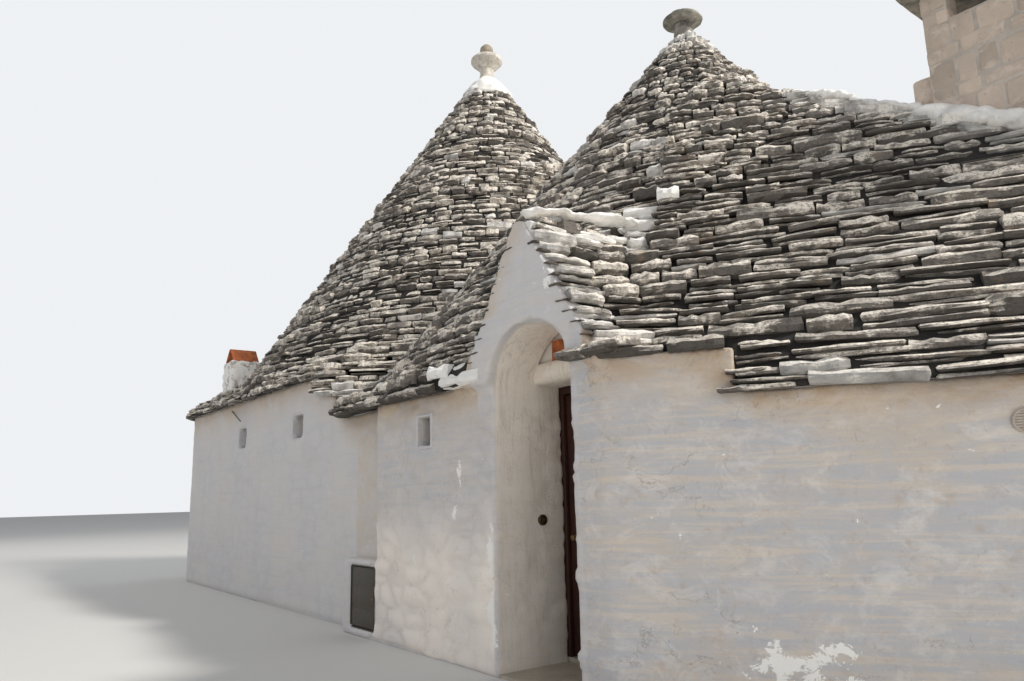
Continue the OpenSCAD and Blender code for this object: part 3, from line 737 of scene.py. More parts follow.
def slab_material():
    """Split grey slabs: each with its own tone, cream faces that are partly worn and partly a painted highlight on
    their upper parts and top faces, lichen spots, painted shade on their undersides and some lime.
    """
    if made("roof_slab"):
        return made("roof_slab")
    s = bpy.context.scene.trullo_roof
    m, tree, shader = material("roof_slab")
    w = weathered(tree, 5.5, 90)
    tone = attribute(tree, "tone")
    grey = mixed(tree, tone, np.array(s.grey) * 0.50, np.array(s.grey) * 1.75)
    layers = fine_noise(tree, 1.0, 7, 0.66, 0.4, stretch=(5, 5, 46))
    speckle = fine_noise(tree, 19, 9, 0.76)
    fine = plus(tree, times(tree, layers, 0.45), times(tree, speckle, 0.35))
    mask = plus(tree, times(tree, w["Patches"], 0.80), fine)
    # the upper part of each slab leans to the cream: partly wear, partly a painted highlight on the upper edges
    higher = times(tree, minus(tree, attribute(tree, "rise"), 0.5), 0.12)
    lean = plus(tree, times(tree, minus(tree, tone, 0.5), 0.20), higher)
    worn = ramp(tree, minus(tree, plus(tree, mask, lean), 0.3), (0.485, 0), (0.56, 1))
    colour = mixed(tree, times(tree, worn, 0.9), grey, s.cream)
    # faces that look up are painted towards a lighter cream: partly lichen and lime, partly a painted highlight
    geo = tree.nodes.new("ShaderNodeNewGeometry")
    sep = tree.nodes.new("ShaderNodeSeparateXYZ")
    tree.links.new(geo.outputs["Normal"], sep.inputs[0])
    up = ramp(tree, sep.outputs[2], (0.35, 0), (0.85, 1))
    colour = mixed(tree, times(tree, up, 0.55), colour, np.array(s.cream) * 1.1)
    spots = ramp(tree, speckle, (0.51, 0), (0.58, 1))
    colour = mixed(tree, times(tree, spots, 0.66), colour, np.array(s.grey) * 0.34)
    pits = ramp(tree, fine_noise(tree, 44, 6, 0.7, stretch=(1, 1, 1.6)), (0.53, 0), (0.60, 1))
    colour = mixed(tree, times(tree, pits, 0.5), colour, np.array(s.grey) * 0.30)
    rust = ramp(tree, fine_noise(tree, 6, 4, 0.6), (0.60, 0), (0.70, 1))
    colour = mixed(tree, times(tree, rust, 0.40), colour, (0.36, 0.25, 0.15))
    # faces that look down are painted dark: painted shade on the undersides of the slabs
    under = ramp(tree, times(tree, sep.outputs[2], -1.0), (0.35, 0), (0.9, 1))
    colour = mixed(tree, times(tree, under, 0.75), colour, np.array(s.grey) * 0.35)
    lime = times(tree, attribute(tree, "lime"), ramp(tree, w["Patches"], (0.34, 0.35), (0.52, 1)), True)
    colour = mixed(tree, lime, colour, bpy.context.scene.trullo_walls.flake)
    feed(tree, shader, Base_Color=colour, Roughness=0.93)
    bump(tree, shader, plus(tree, times(tree, w["Relief"], 0.6), times(tree, layers, 0.4)), 1.0, 0.03)
    return m


def stone_material(name, light, dark, patch=4.0, grain=70, relief=0.012, tone=False, patches=None):
    """Weathered stone between two colours."""
    if made(name):
        return made(name)
    m, tree, shader = material(name)
    w = weathered(tree, patch, grain)
    colour = mixed(tree, ramp(tree, w["Patches"], (0.36, 0), (0.64, 1)), dark, light)
    if tone:
        own = mixed(tree, attribute(tree, "tone"), np.array(dark) * 0.8, np.array(light) * 1.12)
        colour = mixed(tree, 0.55, colour, own)
    if patches:
        rare = ramp(tree, fine_noise(tree, 2.6, 7, 0.66), (0.58, 0), (0.66, 1))
        colour = mixed(tree, times(tree, rare, 0.7), colour, patches)
        smear = ramp(tree, fine_noise(tree, 4.2, 8, 0.7, 0.5), (0.54, 0), (0.62, 1))
        colour = mixed(tree, times(tree, smear, 0.55), colour, np.array(light) * (1.1, 1.13, 1.18))
    pits = ramp(tree, fine_noise(tree, grain * 0.6, 4, 0.7), (0.60, 0), (0.70, 1))
    colour = mixed(tree, times(tree, pits, 0.55), colour, np.array(dark) * 0.45)
    feed(tree, shader, Base_Color=colour, Roughness=0.92)
    bump(tree, shader, w["Relief"], 0.8, relief)
    return m


def wood_material(name, base, light):
    """Painted or stained boards with grain along Z and worn streaks."""
    if made(name):
        return made(name)
    m, tree, shader = material(name)
    grain = fine_noise(tree, 3.0, 6, 0.65, 0.8, stretch=(22, 22, 1.2))
    worn = ramp(tree, fine_noise(tree, 2.0, 6, 0.7, stretch=(9, 9, 1.0)), (0.52, 0), (0.72, 1))
    colour = mixed(tree, ramp(tree, grain, (0.35, 0), (0.65, 1)), np.array(base) * 0.6, base)
    colour = mixed(tree, times(tree, worn, 0.5), colour, light)
    feed(tree, shader, Base_Color=colour, Roughness=plus(tree, times(tree, grain, 0.3), 0.42))
    bump(tree, shader, grain, 0.5, 0.002)
    return m


def metal_material(name, base, rust, metallic, rusted=0.5, roughness=0.45):
    """Metal or its paint, with rust or tarnish in patches and streaks."""
    if made(name):
        return made(name)
    m, tree, shader = material(name)
    w = weathered(tree, 9.0, 160)
    both = plus(tree, times(tree, w["Patches"], 0.6), times(tree, w["Streaks"], 0.4))
    mask = times(tree, ramp(tree, both, (0.50, 0), (0.62, 1)), rusted)
    dull = plus(tree, times(tree, mask, 0.4), roughness)
    feed(tree, shader, Base_Color=mixed(tree, mask, base, rust), Metallic=metallic, Roughness=dull)
    bump(tree, shader, w["Grain"], 0.25, 0.001)
    return m


def lime_mortar():
    """Thick white lime on caps and ridges."""
    flake = np.array(bpy.context.scene.trullo_walls.flake)
    return stone_material("lime_mortar", flake * 1.04, flake * 0.80, 6.0, 80, 0.01)


def disc_stone():
    return stone_material("disc_stone", (0.36, 0.34, 0.29), (0.13, 0.125, 0.11), 10.0, 90, 0.01)


def shaded_slab_bed_material():
    """The stone behind the gaps between the slabs, near black: painted shade in the deep gaps."""
    dark = np.array(bpy.context.scene.trullo_roof.grey)
    return stone_material("slab_bed", dark * 0.15, dark * 0.05, 7.0, 60, 0.03)


def terracotta_material():
    """Fired clay with paler dust and darker scorch marks."""
    c = np.array(bpy.context.scene.trullo_stone.terracotta)
    return stone_material("terracotta", c * 1.15, c * 0.55, 14.0, 120, 0.003)


def old_iron():
    return metal_material("old_iron", (0.035, 0.032, 0.03), (0.13, 0.05, 0.022), 0.8, 0.7, 0.5)


def old_brass():
    return metal_material("old_brass", (0.26, 0.17, 0.075), (0.08, 0.05, 0.025), 0.85, 0.7, 0.42)


def warm_limewash():
    return limewash_material("limewash_warm", warm=0.36)


def glass_material():
    """Thin dusty glass."""
    m, tree, shader = material("dusty_glass")
    dust = ramp(tree, fine_noise(tree, 14, 5, 0.7), (0.35, 0), (0.75, 1))
    colour = mixed(tree, dust, (0.60, 0.54, 0.49), (0.74, 0.67, 0.60))
    rough_ = plus(tree, times(tree, dust, 0.35), 0.06)
    feed(tree, shader, Base_Color=colour, Roughness=rough_, Alpha=plus(tree, times(tree, dust, 0.10), 0.88))
    return m


# ---------------------------------------------------------------- roof fields


def smooth_max(a, b, k):
    """The higher of two fields, with a soft valley of width k."""
    h = np.maximum(k - np.abs(a - b), 0) / k
    return np.maximum(a, b) + h * h * k / 4


# The height of a roof field where it has no roof
LOW = -50.0
# The slabs lie this much lower than their level lines, so that the first course hides the edge of the roof
LOWERED = 0.032
# The first level line above an eave
FIRST_COURSE = 0.018
# A roof that stands this much higher hides the other, and counts as past its eave below this height over the foot
COVER = 0.22
# Slopes: of the roof past its eaves, and from which a step of the field is a wall and no roof
PAST_SLOPE, WALL_SLOPE = 2.2, 2.4
# The shortest level line with slabs, how far its slabs may reach past open ends, and the widest gap between them
SHORTEST_LINE, OPEN_END, SLAB_GAP = 0.12, (0.02, 0.075), 0.014
# Longer slabs than this are cut until they bow from their line by less than the first and the second of their length
UNCUT, BOW, BOW_SHARE = 0.16, 0.035, 0.03
# A rest of a course below this goes to its last slab, and narrower slabs than the second are left out
LAST_REST, NARROWEST = 0.08, 0.03


def plan_grid(x0, x1, y0, y1, step):
    """Places of the lines of a plan grid along X and along Y."""
    return np.arange(x0, x1, step), np.arange(y0, y1, step)


def in_rounded(x, y, x0, y0, x1, y1, r):
    """Inside a rounded rectangle."""
    dx = np.maximum(np.maximum(x0 + r - x, x - (x1 - r)), 0)
    dy = np.maximum(np.maximum(y0 + r - y, y - (y1 - r)), 0)
    return (x >= x0) & (x <= x1) & (y >= y0) & (y <= y1) & (dx * dx + dy * dy <= r * r)


def cone_height(x, y, centre, foot, radius, height):
    """Height of a cone, where there is one."""
    d = np.hypot(x - centre[0], y - centre[1])
    return np.where(d <= radius, foot + height * (1 - d / radius), LOW)


def falling_eave(x):
    """Height of the eave where it falls from the left wall to the middle wall."""
    share = np.clip((x - HIGH_END_X) / (LOW_END_X - HIGH_END_X), 0, 1)
    return LEFT_TOP + (MID_TOP - LEFT_TOP) * share


def left_roof(x, y):
    """Top of the roof of the left room; its eave steps down beside the middle wall."""
    cone = cone_height(x, y, LEFT_CENTRE, LEFT_TOP, *LEFT_CONE)
    rise = np.minimum(np.minimum(y - (SET_BACK - OVERHANG), LEFT_BACK_EAVE_Y - y), x - LEFT_EAVE_X)
    skirt = LEFT_TOP + np.minimum(SKIRT_SLOPE * rise, SKIRT_RISE)
    steps = np.minimum(skirt, falling_eave(x) + SKIRT_SLOPE * (y - SET_BACK + OVERHANG))
    near_front = y < GABLE_BACK_Y
    inside = in_rounded(x, y, LEFT_EAVE_X, SET_BACK - OVERHANG, 0.0, LEFT_BACK_EAVE_Y, EAVE_ROUND)
    inside &= (x <= INNER_END_X) | ((x <= LOW_END_X) & near_front)
    inside &= (x <= HIGH_END_X) | (y > LEFT_CENTRE[1]) | near_front
    return np.maximum(cone, np.where(inside, np.where(y < LEFT_CENTRE[1], steps, skirt), LOW))


def right_roof(x, y):
    """Top of the roof of the entrance room, the gable and the wing."""
    inward, along = inward_of(x, y), along_of(x, y)
    cone = cone_height(x, y, RIGHT_CENTRE, MID_TOP, *RIGHT_CONE)
    cone = np.where(y < -OVERHANG, LOW, cone)
    front = WING_TOP + WING_RISE * (inward + OVERHANG)
    back = WING_TOP + WING_RISE * (WING_DEPTH + OVERHANG - inward)
    touch = along_of(*RIGHT_CENTRE)
    plan = (along >= touch) | ((inward < 0.9) & (x > 0.3) & (y > -OVERHANG))
    strip = (inward >= -OVERHANG) & (inward <= WING_DEPTH + OVERHANG) & (along <= WING_LEN + 0.03)
    wing = np.where(plan & strip & (x > -0.45), np.minimum(front, back), LOW)
    saddle_top = WING_TOP + WING_RISE * (SADDLE_Y * WING_N[1] + OVERHANG)
    saddle = saddle_top - WING_RISE * ((x - BEND_X) * -WING_N[0] + (y - SADDLE_Y) * WING_N[1])
    over_saddle = plan & (inward >= -OVERHANG) & (x > -0.45) & (x < RIGHT_EAVE_X) & (y < RIGHT_CORNER_Y)
    saddle = np.where(over_saddle, np.minimum(front, saddle), LOW)
    wing = np.maximum(wing, saddle)
    top = smooth_max(cone, wing, 0.45)
    # the eave beside the gable keeps to the top of the middle wall, and the lower courses of the wing start in steps
    shelf = (x > 0.50) & (x < 1.42) & (inward > -OVERHANG) & (inward < 1.0) & (y > -OVERHANG)
    top = np.where(shelf, np.maximum(top, MID_TOP + 0.25 * (inward + OVERHANG)), top)
    gable = MID_TOP + 1.144 + 0.10 * np.clip(y, 0, 1.2) - 1.4857 * np.abs(x)
    gable = np.where((np.abs(x) < 0.79) & (y > GABLE_FRONT) & (y < GABLE_BACK_Y), gable, LOW)
    top = np.where(gable > LOW, smooth_max(top, gable, 0.16), top)
    rise = np.minimum(np.minimum(y + OVERHANG, RIGHT_BACK_EAVE_Y - y), RIGHT_EAVE_X - x)
    skirt = MID_TOP + np.minimum(SKIRT_SLOPE * rise, SKIRT_RISE)
    inside = in_rounded(x, y, -20.0, -OVERHANG, RIGHT_EAVE_X, RIGHT_BACK_EAVE_Y, EAVE_ROUND)
    inside &= (y > RIGHT_CENTRE[1]) | (x < -0.72)
    inside &= (x > LOW_END_X) | ((x > INNER_END_X) & (y > 1.68))
    return np.maximum(top, np.where(inside, skirt, LOW))


def roof_at(x, y):
    """Height of the right roof at one plan point."""
    return float(right_roof(np.array([x]), np.array([y]))[0])


def contour_lines(field, xs, ys, level):
    """The lines where a field on a grid has a level, as arrays of points, without the cells next to a gap."""
    above = field > level
    known = ~np.isnan(field)
    a, b, c, d = above[:-1, :-1], above[1:, :-1], above[1:, 1:], above[:-1, 1:]
    ok = known[:-1, :-1] & known[1:, :-1] & known[1:, 1:] & known[:-1, 1:]
    case = a * 1 + b * 2 + c * 4 + d * 8
    case = np.where(ok, case, 0)
    pairs = {1: [(3, 0)], 2: [(0, 1)], 3: [(3, 1)], 4: [(1, 2)], 5: [(3, 0), (1, 2)], 6: [(0, 2)], 7: [(3, 2)],
             8: [(2, 3)], 9: [(2, 0)], 10: [(0, 1), (2, 3)], 11: [(2, 1)], 12: [(1, 3)], 13: [(1, 0)], 14: [(0, 3)]}

    def crossing(i, j, side):
        ends = {
            0: ((i, j), (i + 1, j)),
            1: ((i + 1, j), (i + 1, j + 1)),
            2: ((i, j + 1), (i + 1, j + 1)),
            3: ((i, j), (i, j + 1)),
        }[side]
        (i0, j0), (i1, j1) = ends
        f0, f1 = field[i0, j0], field[i1, j1]
        t = (level - f0) / (f1 - f0) if f1 != f0 else 0.5
        return ends, (xs[i0] + t * (xs[i1] - xs[i0]), ys[j0] + t * (ys[j1] - ys[j0]))

    links, places = {}, {}
    for i, j in zip(*np.nonzero((case > 0) & (case < 15))):
        for s, e in pairs[int(case[i, j])]:
            ks, ps = crossing(i, j, s)
            ke, pe = crossing(i, j, e)
            places[ks], places[ke] = ps, pe
            links.setdefault(ks, []).append(ke)
            links.setdefault(ke, []).append(ks)
    lines = []
    while links:
        start = next((k for k in links if len(links[k]) == 1), next(iter(links)))
        line, here = [places[start]], start
        while links.get(here):
            there = links[here].pop()
            if here in links.get(there, []):
                links[there].remove(here)
            if not links[here]:
                del links[here]
            line.append(places[there])
            here = there
        links.pop(here, None)
        if len(line) > 2:
            lines.append(np.array(line))
    return lines


def past_eaves(top, foot, step):
    """The roof carried a little past its eaves, steeply down, so that the first courses lie on the edge."""
    top = top.copy()
    for _ in range(3):
        best = np.full(top.shape, LOW)
        for shift in ((1, 0), (-1, 0), (0, 1), (0, -1)):
            near = np.roll(top, shift, (0, 1))
            best = np.maximum(best, np.where(near < foot + COVER, near - PAST_SLOPE * step, LOW))
        top = np.where((top < 0) & (best > 0), best, top)
    return top


def slab_chords(line, level, size_at, rng):
    """Both ends of each slab along a level line, one slab after the other."""
    run = np.concatenate([[0], np.cumsum(np.linalg.norm(np.diff(line, axis=0), axis=1))])
    if run[-1] < SHORTEST_LINE:
        return
    closed = np.linalg.norm(line[0] - line[-1]) < 1e-6

    def point(t):
        p = np.array([np.interp(t, run, line[:, 0]), np.interp(t, run, line[:, 1])])
        past = max(-t, t - run[-1], 0)
        if past > 0:
            end = line[0] - line[min(2, len(line) - 1)] if t < 0 else line[-1] - line[max(-3, -len(line))]
            p = p + end / max(np.linalg.norm(end), 1e-6) * past
        return p

    s = 0.0 if closed else -rng.uniform(*OPEN_END)
    stop = run[-1] + (0.0 if closed else rng.uniform(*OPEN_END))
    while s < stop - 0.05:
        mid = point(min(s + 0.1, run[-1]))
        low, high = size_at(mid[0], mid[1], level)
        e = min(s + low + (high - low) * rng.beta(1.3, 2.4), stop)
        while e - s > UNCUT:
            bow = np.linalg.norm(point((s + e) / 2) - (point(s) + point(e)) / 2)
            if bow < BOW + BOW_SHARE * (e - s):
                break
            e = s + (e - s) * 0.7
        if stop - e < LAST_REST:
            e = stop
        yield point(s), point(e)
        s = e + rng.uniform(0.0, SLAB_GAP)


def slab_rows(field, other, xs, ys, levels, size_at, rng, wave, keep, foot, split):
    """Points for slabs along the level lines of a roof, as a dict of arrays."""
    gx, gy = np.meshgrid(xs, ys, indexing="ij")
    top = past_eaves(field(gx, gy), foot(gx, gy), xs[1] - xs[0])
    hidden = other(gx, gy) > top + COVER
    flat = np.stack([gx.ravel(), gy.ravel(), np.zeros(gx.size)], 1)
    wobble = (noise(flat, 1.3, 5) * 0.7 + noise(flat, 0.45, 9) * 0.3).reshape(gx.shape)
    wobble = wobble * wave * np.clip((top - foot(gx, gy)) / 0.3, 0, 1)
    dx, dy = np.gradient(np.where(top < 0, np.nan, top), xs, ys)
    step = xs[1] - xs[0]
    jump = np.zeros(top.shape, bool)
    jump[:-1] |= np.abs(np.diff(top, axis=0)) > WALL_SLOPE * step
    jump[:, :-1] |= np.abs(np.diff(top, axis=1)) > WALL_SLOPE * step
    shape = np.where((top < 0) | hidden | jump, np.nan, top + wobble)
    out = {k: [] for k in ("place", "turn", "size")}

    def at(grid, p):
        """The value of a grid at its nearest point."""
        i = int(np.clip(round((p[0] - xs[0]) / step), 0, len(xs) - 1))
        j = int(np.clip(round((p[1] - ys[0]) / step), 0, len(ys) - 1))
        return grid[i, j]

    for level, thick in levels:
        for line in contour_lines(shape, xs, ys, level):
            for a, b in slab_chords(line, level, size_at, rng):
                chord, centre = b - a, (a + b) / 2
                width = np.linalg.norm(chord)
                if width <= NARROWEST or not keep(centre[0], centre[1], level):
                    continue
                g = np.array([at(dx, centre), at(dy, centre)])
                facing = np.array([chord[1], -chord[0]]) / width
                if np.isnan(g).any() or np.linalg.norm(g) < 0.05:
                    g = np.array(RIGHT_CENTRE) - centre
                if np.dot(facing, g) > 0:
                    facing = -facing
                layers = 2 if rng.random() < split(centre[0], level) + 0.35 * min(width, 0.8) else 1
                for k in range(layers):
                    slip = rng.uniform(-0.04, 0.04) * (layers - 1)
                    t = chord / width
                    x, y = (centre[i] + t[i] * slip - facing[i] * 0.012 * k for i in (0, 1))
                    out["place"].append((x, y, level + k * thick * 0.5))
                    out["turn"].append(math.atan2(facing[1], facing[0]) + math.pi / 2)
                    long = width - rng.uniform(0.0, 0.02)
                    share = 1.0 if layers == 1 else rng.uniform(0.86, 1.02)
                    out["size"].append((long, thick / layers * share))
    return {k: np.array(v) for k, v in out.items()}


def slab_variant(name, rng, front=7, plain=False):
    """A rough slab, 1 long, 1 deep behind its front edge, 1 thick, with ragged edges; a few dozen faces."""
    outline = []
    bow, slant = rng.uniform(-0.05, 0.09), rng.uniform(-0.06, 0.06)
    for k in range(front):
        x = -0.5 + k / (front - 1.0)
        corner = rng.uniform(0.04, 0.16) if k in (0, front - 1) else 0.0
        aside = rng.uniform(-0.03, 0.03) if 0 < k < front - 1 else 0.0
        outline.append([x + aside, bow * (4 * x * x) + slant * x + corner + rng.uniform(-0.03, 0.04)])
    if plain:
        outline += [[0.44, 0.9], [-0.44, 0.9]]
    else:
        outline += [[0.5 - rng.uniform(0, 0.04), 0.55], [0.40, 1.0]]
        outline += [[-0.40, 1.0], [-0.5 + rng.uniform(0, 0.04), 0.55]]
    n, verts = len(outline), []
    lift, fall = rng.uniform(-0.10, 0.10, n), rng.uniform(-0.14, 0.14, n)
    rings = [(0.97, rng.uniform(0.06, 0.16), 0.0), (1.0, 0.0, rng.uniform(0.22, 0.4))]
    rings += [(1.0, rng.uniform(-0.01, 0.05), rng.uniform(0.62, 0.8)), (0.965, rng.uniform(0.08, 0.26), 1.0)]
    if plain:
        del rings[rng.integers(1, 3)]
    for k, (shrink, back, z) in enumerate(rings):
        for m, (x, y) in enumerate(outline):
            near = max(0.0, 1 - y * 2.6)
            up = lift[m] * (k == 0) + fall[m] * (z == 1.0) * (0.4 + 0.6 * near)
            up = up + (rng.uniform(-0.06, 0.06) if 0 < z < 1 else 0.0)
            aside = x * shrink + rng.uniform(-0.008, 0.008)
            verts.append((aside, y + (back + rng.uniform(-0.03, 0.03)) * near, z + up))
    faces = [list(range(n))[::-1]]
    for r in range(len(rings) - 1):
        faces += [[r * n + i, r * n + (i + 1) % n, (r + 1) * n + (i + 1) % n, (r + 1) * n + i] for i in range(n)]
    faces.append(list(range((len(rings) - 1) * n, len(rings) * n)))
    obj = reworked(new_mesh(name, verts, faces), small_faces)
    obj.data.shade_flat()
    store_floats(obj, {"rise": np.clip(points_of(obj)[:, 2], 0, 1)})
    return obj


def far_slab_variant(name, rng):
    """A plainer slab for the parts that are seen from far."""
    return slab_variant(name, rng, 5, True)


def variant_collection(name, count, maker, seed):
    """A hidden collection of variants for instancing."""
    found = bpy.data.collections.get(name)
    if found:
        return found
    rng = np.random.default_rng(seed)
    holder = bpy.data.collections.new(name)
    for k in range(count):
        obj = maker(f"{name}_{k:02d}", rng)
        bpy.context.scene.collection.objects.unlink(obj)
        holder.objects.link(obj)
    return holder


def slab_variants(far):
    """The slabs for near or for far parts."""
    name, maker = ("far_slab", far_slab_variant) if far else ("slab", slab_variant)
    return variant_collection(name, SLAB_KINDS, maker, 3)


def scatter_tree():
    """Geometry Nodes: variants on points, turned and sized by the points' own attributes, with seeded small turns."""
    found = bpy.data.node_groups.get("lay_stones")
    if found:
        return found
    t = bpy.data.node_groups.new("lay_stones", "GeometryNodeTree")
    t.interface.new_socket("Geometry", in_out="INPUT", socket_type="NodeSocketGeometry")
    t.interface.new_socket("Variants", in_out="INPUT", socket_type="NodeSocketCollection")
    t.interface.new_socket("Material", in_out="INPUT", socket_type="NodeSocketMaterial")
    unevenness = t.interface.new_socket("Unevenness", in_out="INPUT", socket_type="NodeSocketFloat")
    unevenness.default_value = 0.03
    seed = t.interface.new_socket("Seed", in_out="INPUT", socket_type="NodeSocketInt")
    seed.default_value = 1
    t.interface.new_socket("Geometry", in_out="OUTPUT", socket_type="NodeSocketGeometry")
    gin, gout = t.nodes.new("NodeGroupInput"), t.nodes.new("NodeGroupOutput")
    info = t.nodes.new("GeometryNodeCollectionInfo")
    feed(t, info, Separate_Children=True, Reset_Children=True, Collection=gin.outputs["Variants"])

    def named(name, kind):
        n = t.nodes.new("GeometryNodeInputNamedAttribute")
        n.data_type = kind
        n.inputs["Name"].default_value = name
        return n.outputs["Attribute"]

    inst = t.nodes.new("GeometryNodeInstanceOnPoints")
    feed(t, inst, Pick_Instance=True, Points=gin.outputs["Geometry"], Instance=info.outputs["Instances"])
    feed(t, inst, Instance_Index=named("variant", "INT"))
    rnd = t.nodes.new("FunctionNodeRandomValue")
    rnd.data_type = "FLOAT_VECTOR"
    rnd.inputs[0].default_value = (-1, -1, -1)
    rnd.inputs[1].default_value = (1, 1, 1)
    feed(t, rnd, Seed=gin.outputs["Seed"])
    wobble = t.nodes.new("ShaderNodeVectorMath")
    wobble.operation = "SCALE"
    t.links.new(rnd.outputs[0], wobble.inputs[0])
    feed(t, wobble, Scale=gin.outputs["Unevenness"])
    add = t.nodes.new("ShaderNodeVectorMath")
    add.operation = "ADD"
    t.links.new(named("turn", "FLOAT_VECTOR"), add.inputs[0])
    t.links.new(wobble.outputs[0], add.inputs[1])
    feed(t, inst, Rotation=add.outputs[0], Scale=named("size", "FLOAT_VECTOR"))
    real = t.nodes.new("GeometryNodeRealizeInstances")
    t.links.new(inst.outputs[0], real.inputs[0])
    mat = t.nodes.new("GeometryNodeSetMaterial")
    feed(t, mat, Geometry=real.outputs[0], Material=gin.outputs["Material"])
    t.links.new(mat.outputs[0], gout.inputs[0])
    return t


def lay_stones(name, places, turns, sizes, variants, mat, extra, uneven, seed):
    """Stones or slabs on points through the node tree, as a plain mesh."""
    obj = new_mesh(name, places, [])
    rng = np.random.default_rng(seed)
    mesh = obj.data

    def store(key, kind, values):
        a = mesh.attributes.new(key, kind, "POINT")
        a.data.foreach_set("vector" if kind == "FLOAT_VECTOR" else "value", np.asarray(values).ravel())

    store("turn", "FLOAT_VECTOR", np.asarray(turns, np.float32))
    store("size", "FLOAT_VECTOR", np.asarray(sizes, np.float32))
    store("variant", "INT", rng.integers(0, len(variants.objects), len(places)).astype(np.int32))
    for key, values in extra.items():
        store(key, "FLOAT", np.asarray(values, np.float32))
    tree = scatter_tree()
    mod = obj.modifiers.new("stones", "NODES")
    mod.node_group = tree
    ids = {i.name: i.identifier for i in tree.interface.items_tree if i.item_type == "SOCKET" and i.in_out == "INPUT"}
    mod[ids["Variants"]] = variants
    mod[ids["Material"]] = mat
    mod[ids["Unevenness"]] = uneven
    mod[ids["Seed"]] = seed
    return finished(obj, smooth=False)


def course_levels(start, end, course, rng, fill=0.84):
    """Heights and thicknesses of the courses, whose slabs fill about this share of them."""
    out, z = [], start
    while z < end:
        step = course * rng.uniform(0.78, 1.22)
        out.append((z, step * rng.uniform(fill - 0.1, fill + 0.1)))
        z += step
    return out


def lay_roof(name, rows, seed, lime_of, depth, tilt=0.10, uneven=0.022, far=True, mean=0.53):
    """Slabs of one roof piece from its rows."""
    rng = np.random.default_rng(seed)
    n = len(rows["place"])
    place = rows["place"].copy()
    length, thick = rows["size"][:, 0], rows["size"][:, 1] * rng.uniform(0.86, 1.18, n)
    out = np.stack([np.cos(rows["turn"] - math.pi / 2), np.sin(rows["turn"] - math.pi / 2)], 1)
    reach = 0.014 + rng.beta(1.5, 1.8, n) * 0.07
    place[:, :2] += out * reach[:, None]
    place[:, 2] += rng.uniform(-0.008, 0.008, n) - LOWERED
    lean, roll = tilt + rng.normal(0, 0.035, n), rng.normal(0, 0.022, n)
    turns = np.stack([lean, roll, rows["turn"] + rng.normal(0, 0.04, n)], 1)
    sizes = np.stack([length, depth * rng.uniform(0.85, 1.15, n), thick], 1)
    tone = np.clip(rng.normal(mean, 0.25, n), 0.05, 1)
    own = {"tone": tone, "lime": lime_of(place, rng)}
    obj = lay_stones(name, place, turns, sizes, slab_variants(far), slab_material(), own, uneven, seed)
    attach(obj, "house")
    return obj


def piece_of(rows, keep):
    """The rows of slabs for which keep is true."""
    return {k: v[keep] for k, v in rows.items()}


def with_extra(rows, extra, turn):
    """Rows with single slabs (x, y, z, length, thickness) added, all turned alike."""
    return {
        "place": np.vstack([rows["place"], extra[:, :3]]),
        "turn": np.append(rows["turn"], np.full(len(extra), turn)),
        "size": np.vstack([rows["size"], extra[:, 3:]]),
    }


class TrulloLeftRoof(bpy.types.Operator):
    """Lays the slabs of the tall cone and its skirt, course by course"""

    bl_idname = "trullo.left_roof"
    bl_label = "Left roof slabs"

    def execute(self, context):
        s = context.scene.trullo_roof
        rng = np.random.default_rng(s.seed)
        xs, ys = plan_grid(*LEFT_GRID)

        def size_at(x, y, z):
            high = min(max((z - 2.6) / 5.5, 0), 1)
            return 0.16 - 0.04 * high, 0.50 - 0.18 * high

        def keep(x, y, z):
            start = HIGH_END_X + (LEFT_TOP - z) / (LEFT_TOP - MID_TOP) * (LOW_END_X - HIGH_END_X)
            return z > LEFT_TOP or (x > start - 0.02 and y < 1.6)

        def foot(x, y):
            return LEFT_TOP

        def split(x, z):
            return 0.12

        levels = course_levels(MID_TOP + 0.02, LEFT_TOP, STEP_COURSE, rng)
        levels += course_levels(LEFT_TOP + FIRST_COURSE, LEFT_COURSES_TOP, s.course_left, rng)
        rows = slab_rows(left_roof, right_roof, xs, ys, levels, size_at, rng, s.wave, keep, foot, split)
        rows = with_extra(rows, self.side(rng, s.course_left), math.pi / 2)

        def lime(p, rng):
            near_cap = np.clip((p[:, 2] - 7.75) / 0.4, 0, 1)
            return np.clip(near_cap * rng.uniform(0.4, 1.3, len(p)) + (rng.random(len(p)) < 0.05) * 0.6, 0, 1)

        front = rows["place"][:, 1] < LEFT_CENTRE[1] + 0.3
        lay_roof("left_slabs_front", piece_of(rows, front), 11, lime, s.depth)
        lay_roof("left_slabs_back", piece_of(rows, ~front), 12, lime, s.depth)
        return {"FINISHED"}

    def side(self, rng, course):
        """Slabs for the side of the skirt where it stands above the lower roof at the back."""
        side = []
        for level, thick in course_levels(MID_TOP + 0.3, LEFT_TOP + SKIRT_RISE, course, rng):
            y = 3.9 + rng.uniform(0, 0.3)
            while y < 7.9:
                w = min(rng.uniform(0.22, 0.5), 8.02 - y)
                mid = y + w / 2
                high = LEFT_TOP + min(SKIRT_SLOPE * (LEFT_BACK_EAVE_Y - mid), SKIRT_RISE)
                low = roof_at(-3.2, mid) if mid < 7.0 else LEFT_TOP
                if low - 0.12 < level < high - 0.02:
                    side.append((-3.265, mid, level, w - 0.01, thick))
                y += w
        return np.array(side)


